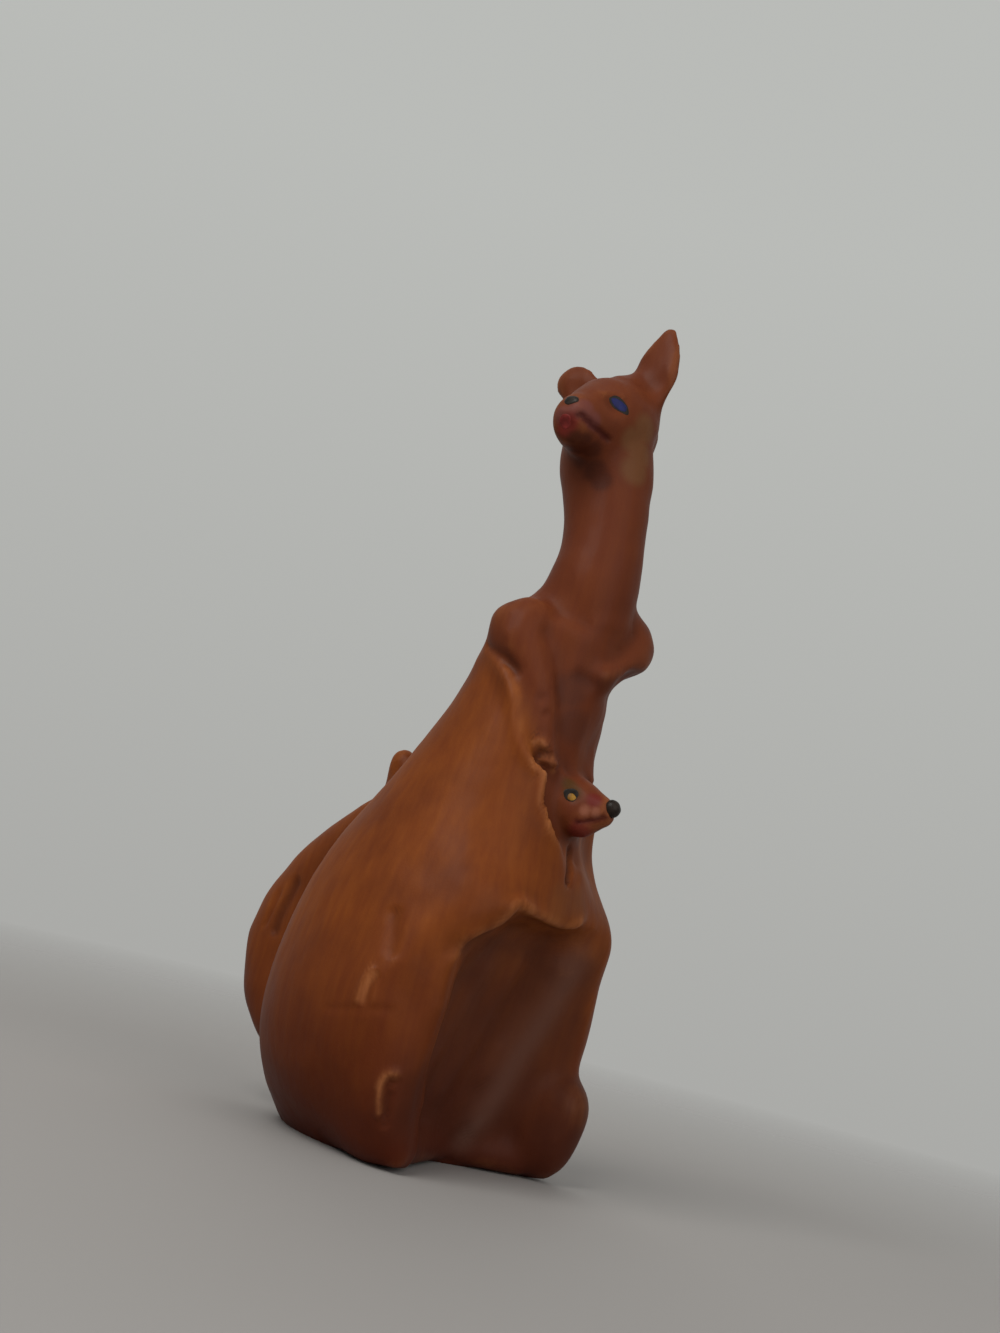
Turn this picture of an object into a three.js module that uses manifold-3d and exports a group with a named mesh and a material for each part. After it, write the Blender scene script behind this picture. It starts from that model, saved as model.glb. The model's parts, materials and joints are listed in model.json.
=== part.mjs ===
// Kangaroo ornament with a joey in its pouch, built up from separately modelled lumps of clay.
// Every lump is seated in a socket of the piece that carries it, with room for a film of slip.
// Millimetres, +Z up. The figure stands on z = 0 and faces -Y; left and right are the animal's own.
// Heights are stacked: each "rise" starts from the level named before it.

import * as THREE from "three";
import Module from "manifold-3d";

// Clearances
const SLIP = 0.3; // film of slip between two pieces of clay
const ENAMEL_GAP = 0.2; // gap round a bead of enamel
const FACET = 0.085; // facets flatter than this are merged after a cut
const SOCKET_REACH = 6; // how far the cutter of a slab's socket reaches out of the trunk

// Roundness
const CAP_SHARE = 0.8; // length of a limb's rounded end, as a share of its radius there
const FRONT_SQUARENESS = 0.86; // below 1 the front of the trunk is fuller than an ellipse

// Trunk: level rings from the base up to the crest between the shoulders
const BASE_HALF_WIDTH = 14;
const BASE_FRONT = 8.5;
const BASE_BACK = 22.5;
const HAUNCH_HEIGHT = 22;
const HAUNCH_HALF_WIDTH = 26;
const SHIN_FRONT = 15;
const RUMP_BACK = 28;
const KNEE_RISE = 18;
const KNEE_HALF_WIDTH = 23.5;
const KNEE_FRONT = 20.5;
const KNEE_BACK = 24.5;
const BELLY_RISE = 8;
const BELLY_HALF_WIDTH = 21;
const BELLY_FRONT = 20;
const BELLY_BACK = 20.5;
const FLANK_RISE = 36;
const FLANK_HALF_WIDTH = 12.5;
const FLANK_FRONT = 10.5;
const FLANK_BACK = 10;
const FLANK_LEAN = 7; // how far the flanks lean forward
const CREST_RISE = 4;

// Forms raised on the trunk or sunk into it
const KNEE_OUT = 1;
const SHIN_OUT = 6.4;
const SPLAYED_SHIN_OUT = 3;
const LEG_TURN = 9; // degrees from the front edge of a thigh back to the middle of its leg
const LEG_SPREAD = 18; // degrees
const LAP_DEPTH = 5.5;
const LAP_STEP = 2.5; // height over which the lap falls back under the pouch

// Thighs and pouch, laid on the trunk as slabs
const THIGH_RISE = 6; // above the belly
const THIGH_THICKNESS = 5;
const THIGH_LIP = 0.8;
const POUCH_RISE = 10; // above the belly
const POUCH_HEM = 3.4; // below the knees
const POUCH_THICKNESS = 4;
const SLIT_HALF_WIDTH = 0.7;
const SLIT_LENGTH = 5;
const SLIT_DEPTH = 2;

// Open front of the trunk, from the pouch slit up between the flanks
const LAPEL_LEFT = 14.2;
const LAPEL_RIGHT = 13;
const OPENING_WALL = 6; // distance of its back wall from the trunk's axis
const LAPEL_STEP = 2.2; // how far the chest lies back behind the edges of the flanks

// Feet
const FOOT_HALF_WIDTH = 6.2;
const FOOT_HEIGHT = 18.5;
const FOOT_SPREAD = 19.5;
const TOE_REACH = 14;
const SPLAYED_FOOT_HEIGHT = 13;
const SPLAYED_FOOT_SPREAD = 16;
const SPLAYED_TOE_REACH = 9;
const HEEL_REACH = 5;

// Chest and neck
const CHEST_FOOT = 6; // above the belly
const CHEST_RADIUS = 9.3;
const CHEST_LEAN = 8.5;
const SHOULDER_RISE = 6; // above the flanks
const NECK_RADIUS = 7;
const NECK_LENGTH = 33.6;
const NECK_TENON = 5;

// Arms
const SHOULDER_RADIUS = 5;
const ELBOW_RADIUS = 4;
const PAW_RADIUS = 2.4;
const RIGHT_ARM_DROP = 24.5;
const LEFT_ARM_DROP = 10.6;

// Tail, laid up against the back
const TAIL_ROOT_HEIGHT = 13.5;
const TAIL_ROOT_RADIUS = 7;
const TAIL_REACH = 34.6;
const TAIL_TIP_HEIGHT = 61.5;
const TAIL_TIP_REACH = 15.2;
const TAIL_TIP_RADIUS = 2.5;
const TAIL_SWAY = 5;

// Head
const SKULL_LENGTH = 6;
const HEAD_HALF_WIDTH = 7.6;
const HEAD_HALF_HEIGHT = 8.2;
const MUZZLE_LENGTH = 14;
const MUZZLE_DROP = 4.2;
const MUZZLE_HALF_WIDTH = 3.7;
const MUZZLE_HALF_HEIGHT = 4.4;
const HEAD_TURN = 88;
const HEAD_TILT = 4;
const EAR_LENGTH = 15.4;
const FOLDED_EAR_LENGTH = 11.6;
const EAR_HALF_WIDTH = 4.8;
const EAR_THICKNESS = 2.8;
const EAR_TIP = 0.28; // width of an ear at its tip, as a share of its full width
const FOLDED_EAR_TIP = 0.55;
const EYE_HALF_LENGTH = 1.9;
const EYE_HALF_HEIGHT = 1.15;
const NOSE_RADIUS = 1.7;
const LIP_RADIUS = 1.7;

// Joey
const JOEY_RISE = 11; // above the belly
const JOEY_REACH = 14.4;
const JOEY_SKULL_LENGTH = 4;
const JOEY_HALF_WIDTH = 5;
const JOEY_HALF_HEIGHT = 5.6;
const JOEY_MUZZLE_LENGTH = 8.7;
const JOEY_MUZZLE_DROP = 0.4;
const JOEY_MUZZLE_RADIUS = 2.2;
const JOEY_NECK_RADIUS = 4.2;
const JOEY_NECK_LENGTH = 14;
const JOEY_TURN = 3;
const JOEY_EAR_LENGTH = 6.5;
const JOEY_EAR_HALF_WIDTH = 2.1;
const JOEY_EAR_THICKNESS = 1.8;
const JOEY_EYE_RADIUS = 0.9;
const JOEY_NOSE_RADIUS = 1.6;

// Enamel beads
const EYE_RIM = 0.5;
const ENAMEL_RISE = 0.35;
const ENAMEL_SINK = 0.6;

// Finish
const TERRACOTTA = { color: 0xa85a34, roughness: 0.35, metalness: 0 };
const BLACK = { color: 0x15130f, roughness: 0.3, metalness: 0 };
const BLUE = { color: 0x2b3a8c, roughness: 0.3, metalness: 0 };
const RED = { color: 0x9c2f2c, roughness: 0.3, metalness: 0 };
const GOLD = { color: 0xd39a2a, roughness: 0.3, metalness: 0 };

const RIGHT = -1;
const LEFT = 1;

const kernel = await Module();
kernel.setup();

const vec = (x, y, z) => new THREE.Vector3(x, y, z);
const acrossFigure = vec(1, 0, 0);
const forward = vec(0, -1, 0);
const { clamp, degToRad: degrees, lerp, smoothstep } = THREE.MathUtils;
const bump = (value, middle, spread) => Math.exp(-(((value - middle) / spread) ** 2));
const steps = (from, to, step) => Array.from({ length: (to - from) / step + 1 }, (_, k) => from + k * step);
const fullTurn = (count) => Array.from({ length: count }, (_, k) => (k / count) * 2 * Math.PI);

// Solids from triangles, and back

function toSolid(points, index) {
  const mesh = new kernel.Mesh({
    numProp: 3,
    vertProperties: new Float32Array(points.flatMap((point) => point.toArray())),
    triVerts: new Uint32Array(index),
  });
  return new kernel.Manifold(mesh);
}

function toGeometry(solid) {
  const mesh = solid.getMesh();
  const geometry = new THREE.BufferGeometry();
  geometry.setAttribute("position", new THREE.BufferAttribute(new Float32Array(mesh.vertProperties), 3));
  geometry.setIndex(new THREE.BufferAttribute(new Uint32Array(mesh.triVerts), 1));
  geometry.computeVertexNormals();
  return geometry;
}

// Closed skin over rings with equal counts of points, ended in one point at each side.
function skin(rings, startPole, endPole) {
  const count = rings[0].length;
  const points = [...rings.flat(), startPole, endPole];
  const start = points.length - 2;
  const end = points.length - 1;
  const top = (rings.length - 1) * count;
  const index = [];
  for (let k = 0; k < count; k++) {
    const next = (k + 1) % count;
    index.push(start, next, k);
    index.push(end, top + k, top + next);
    for (let ring = 0; ring < top; ring += count) {
      index.push(ring + k, ring + next, ring + next + count);
      index.push(ring + k, ring + next + count, ring + k + count);
    }
  }
  return toSolid(points, index);
}

// Cuts sockets into a lump, keeps its main part and drops the crumbs.
function carve(solid, ...sockets) {
  const lumps = sockets.reduce((rest, socket) => rest.subtract(socket), solid).decompose();
  const main = lumps.reduce((best, lump) => (lump.volume() > best.volume() ? lump : best));
  return main.simplify(FACET);
}

// Limb: stations of [place, half width, half height], eased into one another. The width points to "side".
function limb(side, ...stations) {
  const spine = new THREE.CatmullRomCurve3(stations.map(([place]) => vec(...place)));
  const size = new THREE.CatmullRomCurve3(stations.map(([, wide, high]) => vec(wide, high ?? wide, 0)));
  spine.curveType = "catmullrom";
  size.curveType = "catmullrom";
  return { side, spine, size };
}

// Point on the oval ring of a limb, at a share along it and an angle about it.
function ringPoint(shape, share, angle, grow = 0, shift = 0, scale = 1) {
  const along = shape.spine.getTangent(share);
  const across = shape.side.clone().addScaledVector(along, -shape.side.dot(along)).normalize();
  const other = along.clone().cross(across);
  const size = shape.size.getPoint(share);
  return shape.spine
    .getPoint(share)
    .addScaledVector(along, shift)
    .addScaledVector(across, Math.cos(angle) * (size.x + grow) * scale)
    .addScaledVector(other, Math.sin(angle) * (size.y + grow) * scale);
}

const capLength = (shape, share) => Math.min(...shape.size.getPoint(share).toArray().slice(0, 2)) * CAP_SHARE;

// Solid of a limb with rounded ends, grown on all sides where it is a socket.
function solidLimb(shape, sides, steps, grow = 0) {
  const angles = fullTurn(sides);
  const ring = (share, shift, scale) =>
    angles.map((angle) => ringPoint(shape, share, angle, grow, shift, scale));
  const pole = (share, shift) =>
    shape.spine.getPoint(share).addScaledVector(shape.spine.getTangent(share), shift);
  const startCap = capLength(shape, 0) + grow;
  const endCap = capLength(shape, 1) + grow;
  const turns = [68, 36].map(degrees);
  const rings = turns.map((turn) => ring(0, -startCap * Math.sin(turn), Math.cos(turn)));
  for (let i = 0; i <= steps; i++) rings.push(ring(i / steps, 0, 1));
  for (const turn of turns.toReversed()) rings.push(ring(1, endCap * Math.sin(turn), Math.cos(turn)));
  return skin(rings, pole(0, -startCap), pole(1, endCap));
}

// Seat on the side of a limb: a place on its skin and the ways out of it and along it.
function sideSeat(shape, share, angle) {
  const point = ringPoint(shape, share, angle);
  const round = ringPoint(shape, share, angle + 0.05).sub(ringPoint(shape, share, angle - 0.05));
  const along = ringPoint(shape, share + 0.02, angle).sub(ringPoint(shape, share - 0.02, angle));
  return { point, out: round.cross(along).normalize(), along: along.normalize() };
}

// Seat on the rounded end of a limb, lifted off its axis by an angle.
function endSeat(shape, lift) {
  const along = shape.spine.getTangent(1);
  const up = along.clone().cross(shape.side).normalize();
  const high = shape.size.getPoint(1).y;
  const cap = capLength(shape, 1);
  const point = shape.spine
    .getPoint(1)
    .addScaledVector(along, cap * Math.cos(lift))
    .addScaledVector(up, high * Math.sin(lift));
  const out = along.multiplyScalar(Math.cos(lift) / cap).addScaledVector(up, Math.sin(lift) / high);
  return { point, out: out.normalize(), along: shape.side };
}

// Bead: a ball squeezed to three half sizes, lying along its seat and standing out of it.
function bead(seat, long, wide, high) {
  const sides = 8;
  const rows = 4;
  const along = seat.along.clone().addScaledVector(seat.out, -seat.along.dot(seat.out)).normalize();
  const turn = new THREE.Matrix4().makeBasis(along, seat.out.clone().cross(along), seat.out);
  const put = (x, y, z) => vec(x * long, y * wide, z * high).applyMatrix4(turn).add(seat.point);
  const row = (level) => {
    const wideness = Math.sin(level);
    return fullTurn(sides).map((a) => put(wideness * Math.cos(a), wideness * Math.sin(a), -Math.cos(level)));
  };
  const rings = [];
  for (let i = 1; i < rows; i++) rings.push(row((i / rows) * Math.PI));
  return skin(rings, put(0, 0, -1), put(0, 0, 1));
}

// Outline, counter-clockwise, drawn in by a gap on all sides with its corners kept sharp.
function drawnIn(outline, gap) {
  const corners = outline.map(([x, y]) => new THREE.Vector2(x, y));
  const inward = (from, to) => {
    const way = to.clone().sub(from).normalize();
    return new THREE.Vector2(-way.y, way.x);
  };
  return corners.map((next, k) => {
    const corner = corners.at(k - 1);
    const before = inward(corners.at(k - 2), corner);
    const after = inward(corner, next);
    const bisector = before.clone().add(after);
    return corner.clone().addScaledVector(bisector, gap / (1 + before.dot(after))).toArray();
  });
}

// Prism on a closed outline, between two depths. "place" turns an outline point and a depth into space.
function prism(outline, near, far, place) {
  const flat = outline.map(([x, y]) => new THREE.Vector2(x, y));
  const loop = THREE.ShapeUtils.isClockWise(flat) ? flat.toReversed() : flat;
  const count = loop.length;
  const points = [near, far].flatMap((depth) => loop.map((p) => place(p.x, p.y, depth)));
  const index = [];
  for (const [a, b, c] of THREE.ShapeUtils.triangulateShape(loop, [])) {
    index.push(a, c, b, a + count, b + count, c + count);
  }
  for (let k = 0; k < count; k++) {
    const next = (k + 1) % count;
    index.push(k, next, next + count, k, next + count, k + count);
  }
  return toSolid(points, index);
}

const fromFront = (x, z, depth) => vec(x, -depth, z);
const fromAbove = (x, y, depth) => vec(x, y, depth);

// Trunk

const base = { z: 0, y: 0, wide: BASE_HALF_WIDTH, front: BASE_FRONT, back: BASE_BACK };
const haunches = { z: HAUNCH_HEIGHT, y: 0, wide: HAUNCH_HALF_WIDTH, front: SHIN_FRONT, back: RUMP_BACK };
const knees = { z: haunches.z + KNEE_RISE, y: 0, wide: KNEE_HALF_WIDTH, front: KNEE_FRONT, back: KNEE_BACK };
const belly = { z: knees.z + BELLY_RISE, y: 0, wide: BELLY_HALF_WIDTH, front: BELLY_FRONT, back: BELLY_BACK };
const flanks = {
  z: belly.z + FLANK_RISE,
  y: -FLANK_LEAN,
  wide: FLANK_HALF_WIDTH,
  front: FLANK_FRONT,
  back: FLANK_BACK,
};
const crest = {
  z: flanks.z + CREST_RISE,
  y: -FLANK_LEAN,
  wide: FLANK_HALF_WIDTH * 0.68,
  front: FLANK_FRONT * 0.72,
  back: FLANK_BACK * 0.7,
};
const shoulders = flanks.z + SHOULDER_RISE;

// Ring between two others: "rise" is its share of their height, "swell" its share of their sizes.
function between(low, high, rise, swell) {
  const ring = {};
  for (const key of Object.keys(low)) ring[key] = lerp(low[key], high[key], key === "z" ? rise : swell);
  return ring;
}

const trunkRings = [
  base,
  between(base, haunches, 0.23, 0.5),
  between(base, haunches, 0.6, 0.9),
  haunches,
  between(haunches, knees, 0.55, 0.4),
  knees,
  belly,
  between(belly, flanks, 0.28, 0.36),
  between(belly, flanks, 0.56, 0.68),
  between(belly, flanks, 0.83, 0.9),
  flanks,
  crest,
];

// Ring of the trunk at any height, eased between the rings above and below.
function trunkAt(height) {
  const found = trunkRings.findIndex((ring, i) => i > 0 && ring.z >= height);
  const upper = found < 0 ? trunkRings.length - 1 : found;
  const at = (i) => trunkRings[clamp(i, 0, trunkRings.length - 1)];
  const [before, low, high, after] = [at(upper - 2), at(upper - 1), at(upper), at(upper + 1)];
  const gap = high.z - low.z;
  const t = (height - low.z) / gap;
  const eased = (key) => {
    const slopeLow = ((high[key] - before[key]) / (high.z - before.z)) * gap;
    const slopeHigh = ((after[key] - low[key]) / (after.z - low.z)) * gap;
    const even = lerp(low[key], high[key], 3 * t ** 2 - 2 * t ** 3);
    return even + (t ** 3 - 2 * t ** 2 + t) * slopeLow + (t ** 3 - t ** 2) * slopeHigh;
  };
  return { y: eased("y"), wide: eased("wide"), front: eased("front"), back: eased("back") };
}

// Angle eased through pairs of [height, degrees].
function angleAt(...pairs) {
  const curve = new THREE.SplineCurve(pairs.map(([height, angle]) => new THREE.Vector2(height, angle)));
  return (level) => {
    const above = pairs.findIndex(([height], i) => i > 0 && height >= level);
    const upper = above < 0 ? pairs.length - 1 : above;
    const share = clamp((level - pairs[upper - 1][0]) / (pairs[upper][0] - pairs[upper - 1][0]), 0, 1);
    return degrees(curve.getPoint((upper - 1 + share) / (pairs.length - 1)).y);
  };
}

const lapTop = knees.z + 0.4 * LAP_STEP;
const lapFoot = lapTop - LAP_STEP;
const thighTop = belly.z + THIGH_RISE;
const shinHeight = (share) => lerp(haunches.z, knees.z, share);

// Front edges of the thighs: the left leg stands straight, the right one is splayed
const thighFrontTop = [
  [lapTop, 31],
  [lerp(knees.z, belly.z, 0.75), 41],
  [lerp(belly.z, thighTop, 0.5), 62],
  [thighTop, 84],
];
const straightShin = [
  [0, 46],
  [haunches.z * 0.7, 37],
  [shinHeight(0.25), 34],
  [shinHeight(0.67), 32],
];
const splayedShin = [
  [0, 60],
  [haunches.z * 0.6, 56],
  [shinHeight(0.1), 51],
  [shinHeight(0.5), 46],
];
const thighFront = {
  [LEFT]: angleAt(...straightShin, ...thighFrontTop),
  [RIGHT]: angleAt(...splayedShin, ...thighFrontTop),
};

// Point on the trunk at a height and an angle from the front, sunk under its skin by "inset".
function trunkPoint(height, angle, inset = 0) {
  const ring = trunkAt(Math.max(height, 0));
  const ahead = Math.cos(angle) > 0;
  const power = (value) => Math.sign(value) * Math.abs(value) ** (ahead ? FRONT_SQUARENESS : 1);
  const depth = ahead ? ring.front : ring.back;
  const point = vec(power(Math.sin(angle)) * ring.wide, -power(Math.cos(angle)) * depth, 0);
  const turn = Math.atan2(Math.sin(angle), Math.cos(angle));
  const side = turn > 0 ? LEFT : RIGHT;
  const front = thighFront[side](height);
  const legs = bump(Math.abs(turn), front + degrees(LEG_TURN), degrees(LEG_SPREAD));
  const knee = KNEE_OUT * legs * bump(height, knees.z, KNEE_RISE / 3);
  const shin = (side === LEFT ? SHIN_OUT : SPLAYED_SHIN_OUT) * legs * bump(height, haunches.z, KNEE_RISE);
  const sunk = 1 - smoothstep(Math.abs(turn), front / 2, front);
  const lap = LAP_DEPTH * sunk * (1 - smoothstep(height, lapFoot, lapTop));
  point.setLength(point.length() + knee + shin - lap - inset);
  return point.add(vec(0, ring.y, height));
}

const levelsBetween = (low, high, ...shares) => shares.map((share) => lerp(low.z, high.z, share));
const lapLevels = [lapFoot, lerp(lapFoot, lapTop, 0.5), lapTop];
const trunkLevels = [
  ...levelsBetween(base, haunches, 0, 0.11, 0.27, 0.5, 0.77),
  ...levelsBetween(haunches, knees, 0.05, 0.4, 0.68),
  ...lapLevels,
  ...levelsBetween(knees, belly, 0.55),
  ...levelsBetween(belly, flanks, 0, 0.14, 0.28, 0.45, 0.64, 0.83),
  ...levelsBetween(flanks, crest, 0, 0.6, 1),
];

function trunk(inset = 0) {
  const angles = [...steps(-75, 75, 5), ...steps(85, 275, 10)].map(degrees);
  const rings = trunkLevels.map((level) => angles.map((angle) => trunkPoint(level, angle, inset)));
  return skin(rings, vec(0, 0, 0), vec(0, crest.y, crest.z + CREST_RISE / 4));
}

// Slab on the trunk between two angles that change with height, from one depth under its skin to another.
function slab(levels, angleFrom, angleTo, inner, outer) {
  const columns = 9;
  const sheet = (inset) =>
    levels.map((level) =>
      Array.from({ length: columns + 1 }, (_, k) => {
        const share = k / columns;
        const angle = lerp(angleFrom(level), angleTo(level), share);
        return trunkPoint(level, angle, inset(share, level));
      }),
    );
  const points = [...sheet(outer).flat(), ...sheet(inner).flat()];
  const wide = columns + 1;
  const deep = levels.length * wide;
  const index = [];
  const quad = (a, b, c, d) => index.push(a, b, c, a, c, d);
  for (let i = 0; i + 1 < levels.length; i++) {
    const low = i * wide;
    for (let a = low; a < low + columns; a++) {
      quad(a, a + 1, a + wide + 1, a + wide);
      quad(deep + a, deep + a + wide, deep + a + wide + 1, deep + a + 1);
    }
    quad(low, low + wide, deep + low + wide, deep + low);
    quad(low + columns, deep + low + columns, deep + low + wide + columns, low + wide + columns);
  }
  const last = (levels.length - 1) * wide;
  for (let k = 0; k < columns; k++) {
    quad(k, deep + k, deep + k + 1, k + 1);
    quad(last + k, last + k + 1, deep + last + k + 1, deep + last + k);
  }
  return toSolid(points, index);
}

// Thigh: a slab on the side of the trunk, proud along its front edge
const thighBack = angleAt(
  [0, 140],
  [haunches.z * 0.55, 147],
  [haunches.z * 1.2, 147],
  [lerp(haunches.z, knees.z, 0.9), 142],
  [lerp(knees.z, belly.z, 0.75), 132],
  [lerp(belly.z, thighTop, 0.5), 118],
  [thighTop, 104],
);
const thighLevels = [
  ...levelsBetween(base, haunches, 0, 0.25, 0.5, 0.77),
  ...levelsBetween(haunches, knees, 0.05, 0.22, 0.4, 0.54, 0.68, 0.8, 0.9),
  lapTop,
  ...levelsBetween(knees, belly, 0.55),
  ...[0, 0.5, 0.87, 1].map((share) => lerp(belly.z, thighTop, share)),
];

function thigh(side, gap) {
  const turn = gap / HAUNCH_HALF_WIDTH;
  const front = (level) => side * (thighFront[side](level) - turn);
  const back = (level) => side * (thighBack(level) + turn);
  const [from, to] = side === LEFT ? [front, back] : [back, front];
  const lip = (share, level) =>
    -THIGH_LIP * bump(side === LEFT ? share : 1 - share, 0, 0.12) * (1 - smoothstep(level, lapTop, belly.z));
  if (gap === 0) return slab(thighLevels, from, to, () => THIGH_THICKNESS - SLIP, lip);
  const levels = [-SOCKET_REACH, ...thighLevels, thighTop + gap];
  return slab(levels, from, to, () => THIGH_THICKNESS, () => -SOCKET_REACH);
}

// Pouch: the flap at the front of the trunk, hanging over the lap
const pouchTop = belly.z + POUCH_RISE;
const pouchFoot = knees.z - POUCH_HEM;
const pouchEdge = angleAt(
  [pouchFoot, 28],
  [lapTop, 28],
  [lerp(knees.z, belly.z, 0.75), 33],
  [lerp(belly.z, pouchTop, 0.4), 31],
  [pouchTop, 24],
);
const pouchLevels = [
  pouchFoot,
  ...lapLevels,
  ...levelsBetween(knees, belly, 0.5),
  ...[0, 0.3, 0.6, 1].map((share) => lerp(belly.z, pouchTop, share)),
];

function pouchFlap(gap) {
  const edge = (level) => pouchEdge(level) + gap / BELLY_FRONT;
  const from = (level) => -edge(level);
  if (gap === 0) return slab(pouchLevels, from, edge, () => POUCH_THICKNESS - SLIP, () => 0);
  const levels = [pouchFoot - gap, ...pouchLevels, pouchTop + gap];
  return slab(levels, from, edge, () => POUCH_THICKNESS, () => -SOCKET_REACH);
}

// Opening between the flanks, narrow at the pouch slit and wide at the shoulders. The lump that fills it
// is smaller by a gap on all sides.
function opening(gap = 0) {
  const upper = [
    [0.5, 0.98],
    [0.67, 1.02],
    [0.8, 1.05],
    [1.28, 1.2],
  ];
  const left = [[0.1, 0.45], [0.2, 0.82], [0.35, 0.93], ...upper];
  const right = [[0.1, 0.2], [0.16, 0.5], [0.26, 0.7], [0.37, 0.67], [0.43, 0.88], ...upper];
  const edge = (width, side, rim) =>
    rim.map(([rise, spread]) => [side * width * spread, belly.z + rise * FLANK_RISE]);
  const corner = (side) => [side * SLIT_HALF_WIDTH, belly.z];
  const whole = [
    ...edge(LAPEL_LEFT, LEFT, left),
    ...edge(LAPEL_RIGHT, RIGHT, right).toReversed(),
    corner(RIGHT),
    corner(LEFT),
  ];
  const outline = gap === 0 ? whole : drawnIn(whole, gap);
  return prism(outline, OPENING_WALL + gap, BELLY_FRONT + 2 * SOCKET_REACH, fromFront);
}

// Slit below the opening, down the middle of the pouch
function slit() {
  const outline = [
    [0, belly.z - SLIT_LENGTH],
    [SLIT_HALF_WIDTH, belly.z + SLIT_HALF_WIDTH],
    [-SLIT_HALF_WIDTH, belly.z + SLIT_HALF_WIDTH],
  ];
  return prism(outline, BELLY_FRONT - SLIT_DEPTH, BELLY_FRONT + 2 * SOCKET_REACH, fromFront);
}

// Feet, tail, chest, neck and arms

const footSizes = {
  [LEFT]: { spread: FOOT_SPREAD, height: FOOT_HEIGHT, toe: TOE_REACH },
  [RIGHT]: { spread: -SPLAYED_FOOT_SPREAD, height: SPLAYED_FOOT_HEIGHT, toe: SPLAYED_TOE_REACH },
};
function footShape(side) {
  const { spread, height, toe } = footSizes[side];
  const station = (out, reach, rise, wide, high) => [
    [spread * out, reach, height * rise],
    FOOT_HALF_WIDTH * wide,
    height * high,
  ];
  return limb(
    acrossFigure,
    station(0.69, HEEL_REACH, 0.42, 0.8, 0.42),
    station(0.86, -toe * 0.25, 0.5, 0.93, 0.5),
    station(1, -toe * 0.75, 0.5, 1, 0.5),
    station(1.05, -toe, 0.52, 0.92, 0.48),
  );
}

const tailHeight = (share) => lerp(TAIL_ROOT_HEIGHT, TAIL_TIP_HEIGHT, share);
const tailStation = (sway, reach, rise, wide, deep) => [
  [-TAIL_SWAY * sway, lerp(TAIL_TIP_REACH, TAIL_REACH, reach), tailHeight(rise)],
  lerp(TAIL_TIP_RADIUS, TAIL_ROOT_RADIUS, wide),
  lerp(TAIL_TIP_RADIUS, TAIL_ROOT_RADIUS, deep),
];
const tailShape = limb(
  acrossFigure,
  tailStation(0, 0, 0, 1, 1),
  tailStation(0, 0.54, 0, 1, 1),
  tailStation(0, 0.94, 0.14, 0.91, 1.3),
  tailStation(0, 1, 0.32, 0.82, 1.36),
  tailStation(0, 0.78, 0.53, 0.69, 1.1),
  tailStation(0.2, 0.4, 0.7, 0.51, 0.7),
  tailStation(0.4, 0.06, 0.84, 0.24, 0.3),
  tailStation(0.8, 0, 0.94, 0.1, 0.1),
  tailStation(1, 0, 1, 0, 0),
);

const chestFoot = belly.z + CHEST_FOOT;
const chestStation = (rise, back, wide, deep) => [
  [0, -CHEST_LEAN + CHEST_RADIUS * back, lerp(chestFoot, shoulders, rise)],
  CHEST_RADIUS * wide,
  CHEST_RADIUS * deep,
];
const chestShape = limb(
  acrossFigure,
  chestStation(0, 0.16, 0.75, 0.75),
  chestStation(0.22, 0.05, 0.92, 0.96),
  chestStation(0.5, 0, 0.97, 1),
  chestStation(0.72, 0, 1.02, 1),
  chestStation(0.89, -0.11, 1.08, 0.96),
  chestStation(0.97, -0.19, 0.84, 0.78),
);

const neckTop = vec(0, -CHEST_LEAN, shoulders + NECK_LENGTH);
const neckStation = (rise, back, wide, deep) => [
  [0, -CHEST_LEAN + NECK_RADIUS * back, shoulders + NECK_LENGTH * rise],
  NECK_RADIUS * wide,
  NECK_RADIUS * deep,
];
const neckShape = limb(
  acrossFigure,
  neckStation(-NECK_TENON / NECK_LENGTH, -0.29, 0.86, 0.86),
  neckStation(0.06, -0.36, 1.2, 1.13),
  neckStation(0.36, -0.43, 1, 1),
  neckStation(0.64, -0.14, 1.04, 1.04),
  neckStation(0.82, 0.06, 1.2, 1.2),
  neckStation(0.94, 0.1, 1.14, 1.14),
);

// The right arm hangs down the chest; the left one is bent across it.
const armStation = (drop) => (across, back, rise, radius) => [
  [CHEST_RADIUS * across, -CHEST_LEAN + CHEST_RADIUS * back, shoulders + drop * rise],
  radius,
];
const rightArm = armStation(RIGHT_ARM_DROP);
const leftArm = armStation(LEFT_ARM_DROP);
const armShapes = {
  [RIGHT]: limb(
    acrossFigure,
    rightArm(-0.95, 0.17, -0.16, SHOULDER_RADIUS * 0.96),
    rightArm(-1.1, 0.2, -0.29, SHOULDER_RADIUS),
    rightArm(-1.05, -0.13, -0.47, ELBOW_RADIUS * 0.95),
    rightArm(-0.97, -0.37, -0.69, ELBOW_RADIUS * 0.8),
    rightArm(-0.88, -0.52, -0.9, PAW_RADIUS * 1.08),
    rightArm(-0.8, -0.6, -1, PAW_RADIUS),
  ),
  [LEFT]: limb(
    vec(0.42, 0.57, -0.71),
    leftArm(0.68, 0, 0.19, SHOULDER_RADIUS * 0.9),
    leftArm(0.95, -0.43, 0.06, SHOULDER_RADIUS),
    leftArm(0.9, -0.73, -0.3, SHOULDER_RADIUS * 0.94),
    leftArm(0.56, -0.89, -0.66, ELBOW_RADIUS * 0.98),
    leftArm(0.19, -0.95, -0.88, PAW_RADIUS * 1.25),
    leftArm(-0.14, -0.92, -1, PAW_RADIUS),
  ),
};

// Heads, ears and enamel

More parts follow.
